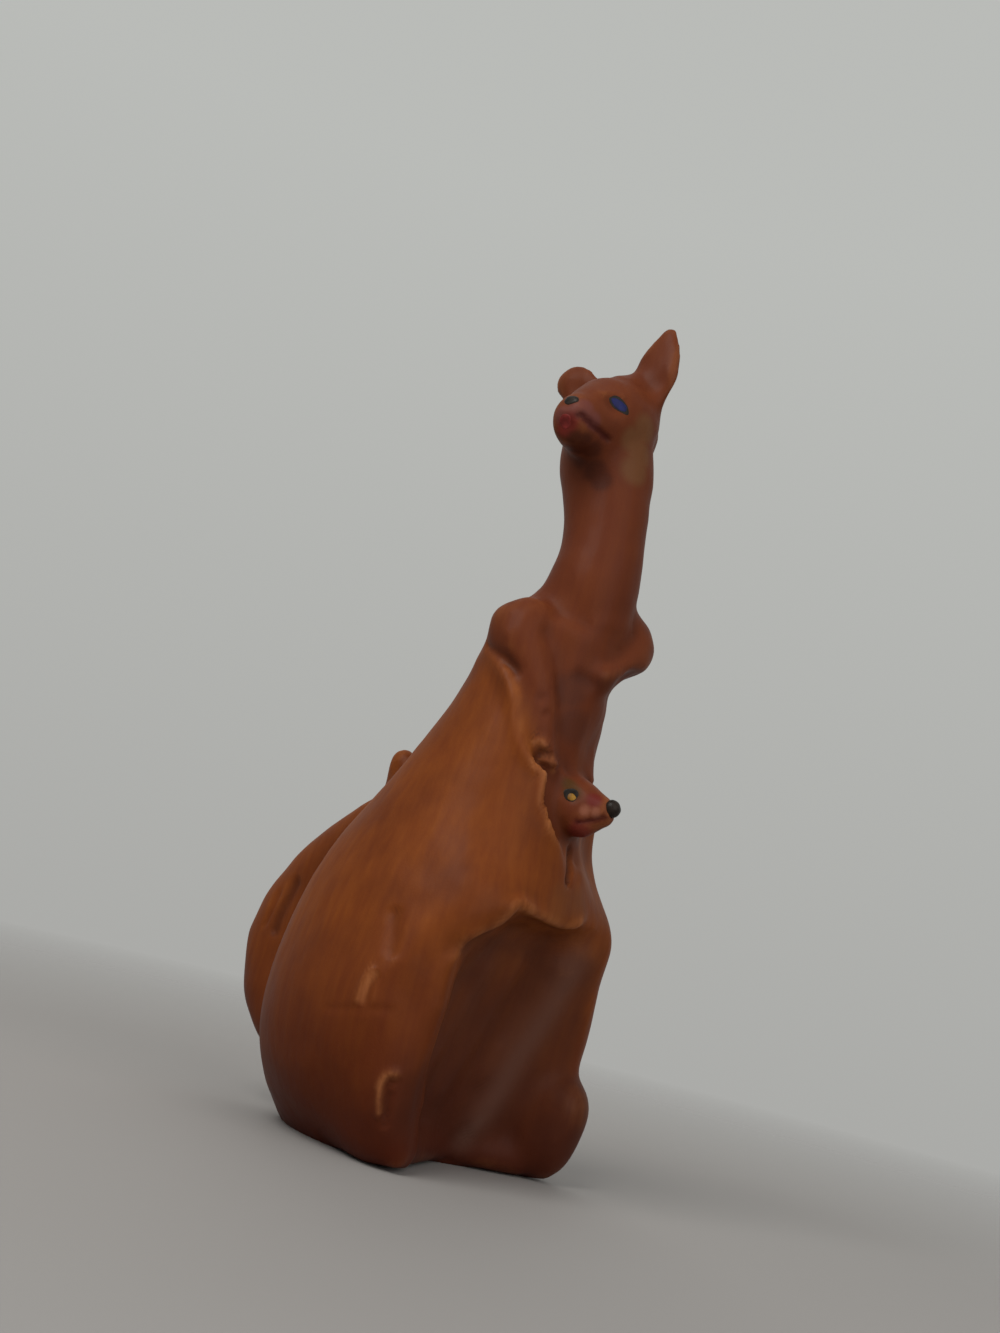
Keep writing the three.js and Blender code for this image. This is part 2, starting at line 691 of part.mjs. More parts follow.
const headStation = (y, drop, wide, high) => [[0, y, -MUZZLE_DROP * drop], wide, high];
const headShape = limb(
  acrossFigure,
  headStation(SKULL_LENGTH, -0.12, HEAD_HALF_WIDTH * 0.71, HEAD_HALF_HEIGHT * 0.76),
  headStation(SKULL_LENGTH * 0.6, -0.1, HEAD_HALF_WIDTH * 0.91, HEAD_HALF_HEIGHT * 0.94),
  headStation(SKULL_LENGTH * 0.08, -0.07, HEAD_HALF_WIDTH, HEAD_HALF_HEIGHT),
  headStation(-MUZZLE_LENGTH * 0.25, 0, HEAD_HALF_WIDTH * 0.95, HEAD_HALF_HEIGHT),
  headStation(-MUZZLE_LENGTH * 0.61, 0.55, HEAD_HALF_WIDTH * 0.74, HEAD_HALF_HEIGHT * 0.76),
  headStation(-MUZZLE_LENGTH * 0.82, 0.86, MUZZLE_HALF_WIDTH * 1.16, MUZZLE_HALF_HEIGHT * 1.18),
  headStation(-MUZZLE_LENGTH, 1, MUZZLE_HALF_WIDTH * 0.95, MUZZLE_HALF_HEIGHT),
);

const joeyStation = (y, drop, wide, high) => [[0, y, -JOEY_MUZZLE_DROP * drop], wide, high];
const joeyShape = limb(
  acrossFigure,
  joeyStation(JOEY_SKULL_LENGTH, 0, JOEY_HALF_WIDTH * 0.76, JOEY_HALF_HEIGHT * 0.73),
  joeyStation(JOEY_SKULL_LENGTH * 0.45, 0, JOEY_HALF_WIDTH * 0.94, JOEY_HALF_HEIGHT * 0.93),
  joeyStation(-JOEY_MUZZLE_LENGTH * 0.12, 0, JOEY_HALF_WIDTH, JOEY_HALF_HEIGHT),
  joeyStation(-JOEY_MUZZLE_LENGTH * 0.48, 0.53, JOEY_HALF_WIDTH * 0.78, JOEY_HALF_HEIGHT * 0.82),
  joeyStation(-JOEY_MUZZLE_LENGTH * 0.78, 0.93, JOEY_MUZZLE_RADIUS * 1.23, JOEY_MUZZLE_RADIUS * 1.45),
  joeyStation(-JOEY_MUZZLE_LENGTH, 1, JOEY_MUZZLE_RADIUS * 0.95, JOEY_MUZZLE_RADIUS * 1.09),
);
const joeyNeckShape = limb(
  acrossFigure,
  [[0, JOEY_SKULL_LENGTH * 0.87, -JOEY_NECK_LENGTH], JOEY_NECK_RADIUS * 0.95],
  [[0, JOEY_SKULL_LENGTH * 0.62, -JOEY_NECK_LENGTH / 2], JOEY_NECK_RADIUS],
  [[0, JOEY_SKULL_LENGTH * 0.5, 0], JOEY_NECK_RADIUS * 0.95],
);

// Leaf of an ear with its root sunk in the head and a hollow on the face it shows forward.
function ear(size, root, way, grow = 0) {
  const along = way.clone().normalize();
  const side = along.clone().cross(forward).normalize();
  const front = side.clone().cross(along).normalize();
  const profile = [
    [-0.2, 0.55, 0.9],
    [0, 0.88, 1.05],
    [0.3, 1, 1],
    [0.6, 0.85, 0.85],
    [0.85, size.tip + 0.22, 0.6],
    [1, size.tip, 0.45],
  ];
  const leafShape = (stations, shift, share, depth) => {
    const place = (rise) =>
      root.clone().addScaledVector(along, rise * size.length).addScaledVector(front, shift * size.thickness);
    const station = ([rise, wide, thick]) => [
      place(rise).toArray(),
      wide * share * size.halfWidth,
      (thick * depth * size.thickness) / 2,
    ];
    return limb(side, ...stations.map(station));
  };
  const leaf = solidLimb(leafShape(profile, 0, 1, 1), 10, 6, grow);
  if (grow > 0) return leaf;
  return leaf.subtract(solidLimb(leafShape(profile.slice(1, 5), 0.55, 0.72, 0.8), 8, 4));
}

// Painted eye: a dark rim with an iris set in it.
function paintedEye(seat, long, wide) {
  const raised = { ...seat, point: seat.point.clone().addScaledVector(seat.out, ENAMEL_RISE) };
  const iris = (gap) => bead(raised, long + gap, wide + gap, ENAMEL_RISE + gap);
  const whole = (gap) => bead(seat, long + EYE_RIM + gap, wide + EYE_RIM + gap, ENAMEL_SINK + gap);
  return { iris: iris(0), rim: carve(whole(0), iris(ENAMEL_GAP)), socket: whole(ENAMEL_GAP) };
}

const eyePair = (shape, share, angle, long, wide) => ({
  [LEFT]: paintedEye(sideSeat(shape, share, angle), long, wide),
  [RIGHT]: paintedEye(sideSeat(shape, share, Math.PI - angle), long, wide),
});

// Holder of the pieces of a head, placed and turned in the figure.
function holder(name, place, tilt, turn) {
  const made = new THREE.Group();
  made.name = name;
  made.position.copy(place);
  made.rotation.set(0, degrees(tilt), degrees(turn), "ZXY");
  made.updateMatrix();
  return made;
}

const inFigure = (solid, group) => solid.transform(group.matrix.toArray());

// Mother's head
const headGroup = holder("head_group", neckTop, -HEAD_TILT, -HEAD_TURN);
const onHead = (across, back, rise) =>
  vec(HEAD_HALF_WIDTH * across, SKULL_LENGTH * back, HEAD_HALF_HEIGHT * rise);
const earSize = { length: EAR_LENGTH, halfWidth: EAR_HALF_WIDTH, thickness: EAR_THICKNESS, tip: EAR_TIP };
const foldedSize = { ...earSize, length: FOLDED_EAR_LENGTH, tip: FOLDED_EAR_TIP };
const ears = {
  [LEFT]: (grow) => ear(earSize, onHead(0.47, 0.17, 0.61), vec(0.2, 0.05, 1), grow),
  [RIGHT]: (grow) => ear(foldedSize, onHead(-0.62, 0.08, 0.61), vec(-0.68, 0, 0.76), grow),
};
const eyes = eyePair(headShape, 0.68, degrees(26), EYE_HALF_LENGTH, EYE_HALF_HEIGHT);
const noseSeat = endSeat(headShape, degrees(38));
const nose = (gap) => bead(noseSeat, NOSE_RADIUS + gap, NOSE_RADIUS * 0.7 + gap, NOSE_RADIUS * 0.53 + gap);
const lipSeat = endSeat(headShape, degrees(-20));
const lips = (gap) => bead(lipSeat, LIP_RADIUS + gap, LIP_RADIUS * 0.8 + gap, LIP_RADIUS * 0.73 + gap);
const skull = (grow) => solidLimb(headShape, 18, 11, grow);
const headSockets = [
  ears[LEFT](SLIP),
  ears[RIGHT](SLIP),
  eyes[LEFT].socket,
  eyes[RIGHT].socket,
  nose(ENAMEL_GAP),
  lips(ENAMEL_GAP),
];

// Joey in the pouch
const joeyGroup = holder("joey_group", vec(0, -JOEY_REACH, belly.z + JOEY_RISE), 0, JOEY_TURN);
const onJoey = (across, back, rise) =>
  vec(JOEY_HALF_WIDTH * across, JOEY_SKULL_LENGTH * back, JOEY_HALF_HEIGHT * rise);
const joeyEarSize = {
  length: JOEY_EAR_LENGTH,
  halfWidth: JOEY_EAR_HALF_WIDTH,
  thickness: JOEY_EAR_THICKNESS,
  tip: EAR_TIP,
};
const joeyEars = {
  [LEFT]: (grow) => ear(joeyEarSize, onJoey(0.56, -0.5, 0.62), vec(0.35, -0.1, 1), grow),
  [RIGHT]: (grow) => ear(joeyEarSize, onJoey(-0.5, -0.5, 0.62), vec(-0.15, 0.45, 0.85), grow),
};
const joeyEyes = eyePair(joeyShape, 0.61, degrees(14), JOEY_EYE_RADIUS, JOEY_EYE_RADIUS);
const joeyNoseSeat = endSeat(joeyShape, degrees(20));
const joeyNose = (gap) =>
  bead(joeyNoseSeat, JOEY_NOSE_RADIUS + gap, JOEY_NOSE_RADIUS + gap, JOEY_NOSE_RADIUS * 0.71 + gap);
const joeyLump = (grow) => solidLimb(joeyShape, 14, 8, grow).add(solidLimb(joeyNeckShape, 10, 2, grow));
const joeySockets = [
  joeyEars[LEFT](SLIP),
  joeyEars[RIGHT](SLIP),
  joeyEyes[LEFT].socket,
  joeyEyes[RIGHT].socket,
  joeyNose(ENAMEL_GAP),
];

// Lumps of the figure, and the sockets that they leave in one another

const foot = (side, grow) => solidLimb(footShape(side), 16, 6, grow);
const tail = (grow) => solidLimb(tailShape, 14, 12, grow);
const chest = (grow) => solidLimb(chestShape, 14, 6, grow);
const openingFill = trunk(LAPEL_STEP).intersect(opening(SLIP));
const neck = (grow) => solidLimb(neckShape, 14, 8, grow);
const arm = (side, grow) => solidLimb(armShapes[side], 12, 8, grow);

const groundReach = 4 * HAUNCH_HALF_WIDTH;
const groundOutline = [
  [-groundReach, -groundReach],
  [groundReach, -groundReach],
  [groundReach, groundReach],
  [-groundReach, groundReach],
];
const ground = prism(groundOutline, -FOOT_HEIGHT, 0, fromAbove);
const joeySocket = inFigure(joeyLump(SLIP).add(joeySockets[0]).add(joeySockets[1]), joeyGroup);
const headSocket = inFigure(skull(SLIP), headGroup);
const armSockets = arm(LEFT, SLIP).add(arm(RIGHT, SLIP));
const footSockets = foot(LEFT, SLIP).add(foot(RIGHT, SLIP));
const bodySockets = [
  thigh(LEFT, SLIP),
  thigh(RIGHT, SLIP),
  pouchFlap(SLIP),
  opening(),
  chest(SLIP),
  joeySocket,
  footSockets,
  tail(SLIP),
  armSockets,
  neck(SLIP),
];

const clay = {
  body: carve(trunk(), ...bodySockets),
  haunch_left: carve(thigh(LEFT, 0), footSockets, tail(SLIP)),
  haunch_right: carve(thigh(RIGHT, 0), footSockets, tail(SLIP)),
  foot_left: carve(foot(LEFT, 0), ground),
  foot_right: carve(foot(RIGHT, 0), ground),
  pouch: carve(pouchFlap(0), opening(), slit(), chest(SLIP), joeySocket),
  tail: carve(tail(0)),
  chest: carve(chest(0).add(openingFill), armSockets, neck(SLIP), joeySocket),
  neck: carve(neck(0), headSocket, armSockets),
  arm_left: carve(arm(LEFT, 0)),
  arm_right: carve(arm(RIGHT, 0)),
};
const headClay = {
  head: carve(skull(0), ...headSockets),
  ear_left: ears[LEFT](0),
  ear_right: ears[RIGHT](0),
};
const joeyClay = {
  joey: carve(joeyLump(0), ...joeySockets),
  joey_ear_left: joeyEars[LEFT](0),
  joey_ear_right: joeyEars[RIGHT](0),
};

function add(group, name, solid, look) {
  const mesh = new THREE.Mesh(toGeometry(solid), new THREE.MeshStandardMaterial(look));
  mesh.name = name;
  group.add(mesh);
}

const figure = new THREE.Group();
figure.name = "kangaroo";
figure.add(headGroup, joeyGroup);
for (const [name, solid] of Object.entries(clay)) add(figure, name, solid, TERRACOTTA);
for (const [name, solid] of Object.entries(headClay)) add(headGroup, name, solid, TERRACOTTA);
for (const [name, solid] of Object.entries(joeyClay)) add(joeyGroup, name, solid, TERRACOTTA);
for (const [word, side] of [["left", LEFT], ["right", RIGHT]]) {
  add(headGroup, `eye_rim_${word}`, eyes[side].rim, BLACK);
  add(headGroup, `eye_${word}`, eyes[side].iris, BLUE);
  add(joeyGroup, `joey_eye_rim_${word}`, joeyEyes[side].rim, BLACK);
  add(joeyGroup, `joey_eye_${word}`, joeyEyes[side].iris, GOLD);
}
add(headGroup, "nose", nose(0), BLACK);
add(headGroup, "lips", lips(0), RED);
add(joeyGroup, "joey_nose", joeyNose(0), BLACK);

export default figure;
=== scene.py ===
import json
import math

import bmesh
import bpy
import numpy as np
from mathutils import Matrix, Vector, noise
from mathutils.bvhtree import BVHTree

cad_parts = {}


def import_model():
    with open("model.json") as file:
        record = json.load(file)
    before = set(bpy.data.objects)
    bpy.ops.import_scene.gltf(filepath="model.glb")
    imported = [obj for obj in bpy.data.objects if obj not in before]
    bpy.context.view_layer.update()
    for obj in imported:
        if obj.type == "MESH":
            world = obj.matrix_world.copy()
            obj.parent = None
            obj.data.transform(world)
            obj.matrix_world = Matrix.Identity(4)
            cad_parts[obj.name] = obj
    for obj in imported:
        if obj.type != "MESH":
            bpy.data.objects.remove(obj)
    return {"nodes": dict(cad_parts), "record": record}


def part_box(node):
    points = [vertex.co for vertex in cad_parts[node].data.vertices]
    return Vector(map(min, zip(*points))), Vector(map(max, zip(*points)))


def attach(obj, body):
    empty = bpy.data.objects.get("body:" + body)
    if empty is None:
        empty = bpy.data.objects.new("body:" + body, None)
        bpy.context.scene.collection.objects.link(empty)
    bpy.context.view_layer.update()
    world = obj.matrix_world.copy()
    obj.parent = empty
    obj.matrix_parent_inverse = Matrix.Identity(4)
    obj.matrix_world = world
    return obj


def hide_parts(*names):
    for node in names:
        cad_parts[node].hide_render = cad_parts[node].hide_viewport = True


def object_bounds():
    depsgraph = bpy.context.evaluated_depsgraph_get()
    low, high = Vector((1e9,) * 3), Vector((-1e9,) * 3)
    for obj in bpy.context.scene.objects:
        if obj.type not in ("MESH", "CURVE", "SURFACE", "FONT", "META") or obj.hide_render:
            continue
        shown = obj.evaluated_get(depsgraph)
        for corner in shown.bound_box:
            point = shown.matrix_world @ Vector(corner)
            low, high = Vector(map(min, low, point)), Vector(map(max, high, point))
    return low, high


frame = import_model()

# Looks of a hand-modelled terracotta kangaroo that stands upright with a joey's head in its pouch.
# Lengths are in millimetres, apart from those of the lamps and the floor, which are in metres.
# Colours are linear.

CAD_BOX = [list(corner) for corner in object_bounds()]
MM = 0.001
TINY = 1e-9
BODY = "root"
CLAY = "terracotta"
CLAY_NODES = [row["node"] for row in frame["record"]["subparts"] if row["material_slot"] == CLAY]

# Clay skin: the lumps are pressed together, so one surface runs over all of them
MERGE = 0.001  # points of a lump this close are one
VOXEL = 0.5
SLIP_FILL = 0.22  # how far each lump swells to close the slip round it
SHELL = 0.4  # thickness of a piece of the skin
LABEL_ROUNDS = 6  # that even out the borders between the pieces
LINE_STEP = 0.35  # between the points of an eased line
ROLL_FINENESS = 2

# Fairing: how strongly each lump was smoothed
FAIRING_ROUNDS = 60
FAIRING_PULL = 0.5
FAIRING = {
    "body": 1.0, "haunch_left": 1.0, "haunch_right": 1.0, "foot_left": 0.7, "foot_right": 1.0,
    "pouch": 0.6, "tail": 0.6, "chest": 0.4, "neck": 0.9, "arm_left": 0.3, "arm_right": 0.15,
    "head": 0.25, "ear_left": 0.2, "ear_right": 0.2, "joey": 0.1, "joey_ear_left": 0.06,
    "joey_ear_right": 0.06,
}
FAIRING_BLEND_ROUNDS = 4
FAIRED_ABOVE = (0.5, 3.5)  # heights between which the fairing sets in, to keep the base flat
KEEP_REACH = 2.2  # how far from a sharp edge the fairing is held back
KEEP_SHARE = 0.85
THUMB_CORE = 0.4  # share of a thumbed spot's radius that is smoothed in full
DRAWN_IN = 0.06  # how far the finished skin is drawn in

# Rolls of clay worked into the joints: lump, radius and middle line
ROLLS = [
    ("body", 1.8, [
        (-10.6, -0.6, 78.6), (-11.4, -3.4, 77.8), (-12.1, -6, 76.8), (-12.3, -9, 74.8), (-12.1, -11, 71.8),
    ]),
    ("body", 1.7, [(-12.1, -11, 71.8), (-11.6, -12.4, 68), (-10.9, -13.4, 65)]),
    ("chest", 2.6, [(-11.2, -5.8, 85.6), (-8.4, -5.8, 88), (-5.5, -6, 90.8)]),
    ("arm_left", 2.4, [(-2.5, -15.6, 86), (1, -16, 86.8), (4.5, -15.6, 87.6)]),
    ("arm_right", 1.6, [(-8.6, -9.8, 87), (-8.8, -11.6, 81), (-8.6, -12.8, 75)]),
    ("foot_right", 4, [(-21, -9.5, 17), (-20.5, -10, 12), (-19.5, -10.5, 7)]),
    ("chest", 1.4, [
        (12.6, -5.6, 77), (12.9, -6.8, 74), (13.2, -7.6, 71), (13.2, -9, 69), (12.8, -11.2, 66),
    ]),
    ("arm_right", 1.2, [(-9.7, -13, 65), (-8.6, -14.2, 64.6)]),
    ("foot_right", 3, [(-7, 13.4, 3), (-10.3, 3.9, 3), (-12.7, -4.4, 3), (-13.7, -10.6, 3)]),
    ("haunch_right", 3, [(-18, -13.4, 30), (-17.6, -13.2, 24), (-17.5, -13, 18), (-17.5, -12.8, 12)]),
    ("haunch_right", 2.5, [(-20.7, -11, 28), (-20.6, -10.9, 24), (-20.3, -11, 20)]),
    ("joey_ear_left", 1.2, [(3.4, -15.9, 67.3), (3.7, -16.2, 66), (3.5, -16.4, 64.8)]),
    ("foot_right", 3, [(-17.5, -12.8, 12), (-17, -12.4, 7), (-16.6, -12, 3)]),
    ("body", 3, [(-14, -9.5, 3), (-5.6, -6.6, 3), (4.3, -3.6, 3), (8.2, -5.4, 3)]),
    ("foot_left", 3, [(8.2, -5.4, 3), (12.3, -8.4, 3), (17, -11, 3)]),
    ("pouch", 2, [(0.9, -16.6, 51), (0.3, -17.4, 48.5), (-0.2, -18, 46.5)]),
    ("head", 2.2, [(-4, -9.6, 130.3), (-1.5, -9, 132.2), (0.5, -9.5, 133.2)]),
    ("arm_right", 0.9, [(-9.8, -13.6, 66.1), (-9.3, -14.9, 66), (-8.2, -15.8, 65.6)]),
    ("arm_right", 0.9, [(-8.4, -15.2, 64.5), (-7.2, -15.6, 64), (-6.2, -15.9, 63.4)]),
]

# Junctions that the modeller's thumb has smoothed: place, radius and strokes
THUMBED = [
    ((2, -13, 130), 6, 60),
    ((1, -5, 128), 5, 60),
    ((0.5, -15.5, 144), 4, 25),
    ((0.5, 5.5, 137), 5, 40),
    ((3, -9, 117), 7, 60),
    ((-8, -13, 116), 6, 60),
    ((-7, -9, 93), 5, 60),
    ((-10, -3, 91), 5, 60),
    ((7, -14, 93), 6, 60),
    ((0, -6, 94), 7, 60),
    ((-13.5, -3.5, 80.5), 5, 90),
    ((0.5, -19, 48.5), 3.5, 60),
    ((-0.5, -9.5, 133.5), 5, 50),
    ((12.5, -12.5, 67), 7, 90),
    ((14, -15, 12), 6, 80),
    ((9, -16.5, 54), 8, 100),
    ((-0.4, 1.1, 136.8), 3.5, 60),
    ((4, -12, 116), 9, 120),
    ((1, -12.2, 135.6), 3.5, 40),
    ((4.6, -16.4, 67), 3, 90),
    ((-22, -12, 24), 6, 150),
    ((-20, -10, 11), 14, 200),
    ((-19, -3, 7), 9, 150),
    ((-1, 41, 20), 9, 100),
    ((-1, 37, 10), 7, 60),
    ((-15.5, -16, 27), 6, 120),
    ((-15.5, -15, 19), 7, 150),
    ((-15.5, -14, 10), 7, 150),
    ((3.5, -15.8, 119.5), 5, 120),
    ((-0.4, -2.2, 134.4), 3, 80),
]

# Marks of the tools, as lines on the skin
LAPEL = [
    (-12.7, -3.6, 79.1), (-13.5, -8, 76.3), (-13.4, -11, 72.5), (-12.9, -13.6, 66), (-10.9, -15.9, 63.1),
    (-8.7, -17.3, 61.8), (-9.2, -17.5, 58.4), (-6.5, -18.9, 53.8), (-2.3, -19.6, 51.6),
]
LEFT_LAPEL = [
    (13.9, -6.2, 75), (14.3, -8, 71.4), (14.2, -10.4, 69), (13.9, -12.4, 65.5), (9.6, -17, 61.5),
    (9.6, -17.6, 58), (6.5, -18.9, 53.8), (2.3, -19.6, 51.6),
]
RIM = [
    (-17.7, -15.8, 28.5), (-18, -16.9, 31), (-16.5, -17.9, 34.2), (-13.4, -18.9, 38), (-11.8, -20.1, 41.2),
    (-7.3, -20, 40), (1, -19.5, 39.2), (4.4, -20.5, 41), (7.4, -20.2, 43.6),
]
THIGH_EDGE = [
    (-18.2, -16.8, 30.9), (-17.6, -15.7, 24), (-17.6, -15.6, 18), (-17.6, -15.3, 12), (-17, -14.8, 7),
]
SLIT = [(1.8, -17.6, 53), (0.9, -18.6, 50.6), (-0.4, -19.8, 48), (-0.8, -20.3, 45.9)]
# Line of a painted sheen streak at the base
SHEEN_STREAK = [(7.6, -10.3, 12.5), (7, -9.5, 9.6), (5.8, -7.5, 4), (5.3, -6.5, 0.5)]
FOOT_SHADE = [
    (-17.2, -15.2, 20), (-18, -14.6, 12), (-18.3, -13.8, 7), (-17.6, -13.2, 3), (-17, -12.8, 0),
]
TAIL_SEAM = [(-5.5, 31.2, 38.7), (-5.8, 32, 34.9), (-5.9, 32.9, 31.2), (-6, 33.1, 26.8)]
HOLLOW = [
    (8.4, -17.5, 38.8), (5.5, -14.6, 36.8), (5, -11.9, 29.2), (-0.5, -11.2, 25.6), (-3.8, -10.2, 18.4),
    (-4.6, -9.7, 12.8), (-3.6, -7.3, 6.9),
]
UNDER_RIM = [
    (-9.3, -11.1, 26.2), (-8.1, -11.6, 28.6), (-7.4, -12.6, 32.7), (-4.9, -14.3, 37.3), (2.9, -14.5, 37.4),
    (7.3, -16.3, 38.1),
]
FLUTE = [
    (9.8, -20.1, 41.3), (10.6, -17.2, 35), (10.3, -14.2, 26.3), (8.3, -11.7, 17.6), (7, -9.3, 9.6),
    (5.7, -6.4, 3.2),
]
MOUTH = [
    (-16.1, -11, 118.4), (-15.6, -12.1, 119.3), (-13.5, -12.8, 118.8), (-10.9, -13.1, 118.5),
    (-8.9, -13.3, 118.3), (-7.9, -13.7, 118),
]
UNDER_ARM = [(3, -19.6, 80), (1, -19.8, 79.2), (-2.4, -18.6, 78.4), (-4, -16.7, 78.6), (-6.7, -14.8, 78.7)]
TIP_CREASE = [
    (-11.4, -1.4, 81.2), (-12.1, -2.7, 80.4), (-13.1, -4.3, 79.6), (-13.6, -7.2, 78.5), (-13.1, -9.5, 76.8),
    (-12.7, -10.5, 75.4),
]
FINGERS = [
    [(-10.3, -14.1, 66.6), (-9.8, -15.2, 66.4), (-8.7, -16.1, 65.8)],
    [(-8.9, -15.3, 64.4), (-7.4, -15.5, 64.2), (-6, -15.8, 63.6)],
]
NOTCHES = [
    [(-26.7, -6.9, 21.7), (-26.6, -7, 23.4), (-26.4, -7, 24.8), (-26, -7.4, 26.4), (-25.7, -8, 27.4)],
    [(-23.4, -13.6, 6), (-24, -13.2, 9.5), (-24.2, -13, 11.5), (-23.3, -13.1, 13.1), (-21.4, -14.3, 13)],
]
OVER_ARM = [(-5.8, -15.2, 87.2), (-3.7, -16.9, 88.1), (-1.2, -18.1, 88.8), (5.2, -16.7, 90.2)]
JOEY_MOUTH = [(-2.4, -19.4, 56), (-1.6, -22.1, 56.8), (-0.6, -24.8, 58)]

LINE_REACH = 3  # widths from a line at which it is no longer felt
STEP_STEEPNESS = 2
TAPER = 0.15  # share of a line's length over which each end fades
LONG_TAPER = 0.4

# Ridges and grooves: width, height or depth, line
RIDGES = [
    (1.4, 0.5, LAPEL),
    (1.3, 0.2, LEFT_LAPEL),
    (1.2, 0.55, RIM),
    (3.2, 0.9, FLUTE),
    (2.6, 0.8, [(9.6, -16.7, 37.1), (7.9, -11.4, 24.4), (2.7, -8.7, 12.3)]),
    (2.6, 0.7, [(2, -17, 35), (-1, -12, 22), (-7, -10, 8)]),
    (2.6, 0.6, [(-5, -17, 33), (-9, -13, 20), (-13, -11, 7)]),
    (1.1, 0.3, [(-12.8, -12.2, 124.8), (-10.1, -13.2, 126.2), (-7.2, -13.8, 125.6)]),
    (1.6, 0.3, OVER_ARM),
    (0.8, 0.6, FINGERS[0]),
    (0.8, 0.6, FINGERS[1]),
]
GROOVES = [
    (0.7, 0.8, SLIT),
    (0.5, 0.5, MOUTH),
    (0.4, 0.35, JOEY_MOUTH),
    (1.2, 0.35, [(-23.5, -6.3, 36.9), (-24.4, -8.1, 32.6), (-25.1, -9.3, 29.1)]),
    (0.6, 0.15, [(-26, 0.6, 19.9), (-26.6, -7.4, 21.4), (-22.6, -11.3, 22.7)]),
    (0.9, 0.6, TAIL_SEAM),
    (0.6, 0.4, [(-5.3, 34.6, 36), (-5.7, 35.2, 32), (-5.9, 36.1, 28)]),
    (0.7, 0.3, [(-23.1, -13.9, 11.6), (-23.3, -14.3, 7.8), (-22.5, -14.1, 5)]),
    (1.3, 0.3, UNDER_ARM),
    (0.8, 0.4, TIP_CREASE),
    (0.5, 0.4, [(-9.6, -14, 65.3), (-8.6, -15.5, 65.1), (-7.4, -16, 64.9)]),
]
# Steps, as width, height and line: the side to the right of the line, seen along it from outside,
# stands higher, or lower where the height is negative
STEPS = [
    (1.4, 0.35, LAPEL),
    (1.5, -0.4, RIM),
    (1.8, 0.15, THIGH_EDGE),
    (1.4, 0.3, TIP_CREASE),
    (1, -0.7, NOTCHES[0]),
    (1, -0.6, NOTCHES[1]),
]
# Dents: place, radius and depth, which is negative for a swelling
DENTS = [
    ((-10.6, -14, 73.1), 0.9, 0.5),
    ((-9.7, -14.7, 70.9), 0.8, 0.5),
    ((-9.8, -14.5, 124.1), 2.6, 0.3),
    ((11, -18.5, 53), 6, 2.4),
    ((2.5, -17.5, 69), 4.5, 1.2),
    ((-13.4, -3, 83.5), 4, -1),
    ((-0.6, 5.4, 134.2), 3, -0.7),
    ((1, -13, 137), 3, -0.4),
    ((-1, -20.6, 55.2), 2.3, -1.3),
    ((19.5, -17.2, 13), 4.5, -1.8),
    ((12.8, -13.5, 66), 5, 1.2),
    ((4.5, -19.8, 79.3), 3.2, 2),
    ((6, -20, 80.5), 3, 1.2),
    ((9, -17.8, 81.5), 3.5, 1.6),
    ((8, -12.8, 122.8), 4, 1.2),
    ((4.5, -15.3, 123.5), 3.5, 0.7),
    ((2.5, -16, 116), 4, -0.7),
    ((2.2, -16.5, 110.5), 4, -0.3),
]
UNEVEN = [(9, 0.14), (3.2, 0.05)]  # wavelength and height of the hand's unevenness

# Shades along lines: share, width, taper and line
# Pale lines on the ridges, notches and fingers: partly wear of the glaze, partly painted highlight
WORN_AND_LIT_LINES = [
    (0.2, 0.8, TAPER, LAPEL),
    (0.3, 0.8, TAPER, LEFT_LAPEL),
    (0.5, 0.8, TAPER, RIM),
    (0.5, 0.8, TAPER, FINGERS[0]),
    (0.5, 0.8, TAPER, FINGERS[1]),
    (0.8, 0.6, TAPER, NOTCHES[0]),
    (0.8, 0.6, TAPER, NOTCHES[1]),
]
# Painted sheen: a pale mauve-grey reflection band down the flute and a streak at the base
SHEEN_LINES = [
    (0.8, 3, TAPER, FLUTE),
    (1, 2, LONG_TAPER, SHEEN_STREAK),
]
# Painted shade along lines: in the slit, the hollow of the lap, under the rim, in the tail seam and on the
# lower front of the right thigh and foot
SHADED_LINES = [
    (1, 0.7, TAPER, SLIT),
    (0.5, 3, TAPER, HOLLOW),
    (0.4, 2.5, TAPER, UNDER_RIM),
    (0.6, 1.2, TAPER, TAIL_SEAM),
    (0.9, 5, LONG_TAPER, FOOT_SHADE),
]
# Painted shade under the left forearm
SHADE_UNDER_ARM = [(0.7, 1.6, TAPER, UNDER_ARM)]
MOUTHS = [
    (1, 0.7, TAPER, MOUTH),
    (1, 0.5, TAPER, JOEY_MOUTH),
]

# Shades in spots: place and radius
# Painted shade in the throat, under the jaw
THROAT_SHADE = [
    ((-14.5, -10.8, 116), 1.8), ((-11.8, -10, 115.1), 2.2), ((-7.3, -8.9, 115.6), 2.4),
    ((-7, -11.1, 113.5), 2.4), ((-6.6, -12.4, 112), 2.2), ((-12.8, -11.7, 116.2), 1.8),
    ((-9.9, -11.4, 115.9), 2.2),
]
JOEY_BROW = [((-3.6, -18.9, 60.6), 1.7), ((-3.8, -18.2, 61.8), 1.5)]
MUZZLE = [
    ((-15.1, -12.1, 120.9), 2), ((-13.3, -12.9, 119.6), 1.8), ((-16.6, -11, 120), 1.8),
    ((-17.2, -8.8, 119), 2.2),
]
REDDENED = [
    ((-16.6, -10.6, 117.8), 2), ((-16.4, -9.2, 116.6), 2), ((-1.7, -22, 60), 1.5),
    ((-1.5, -20.6, 54.8), 2.2),
]
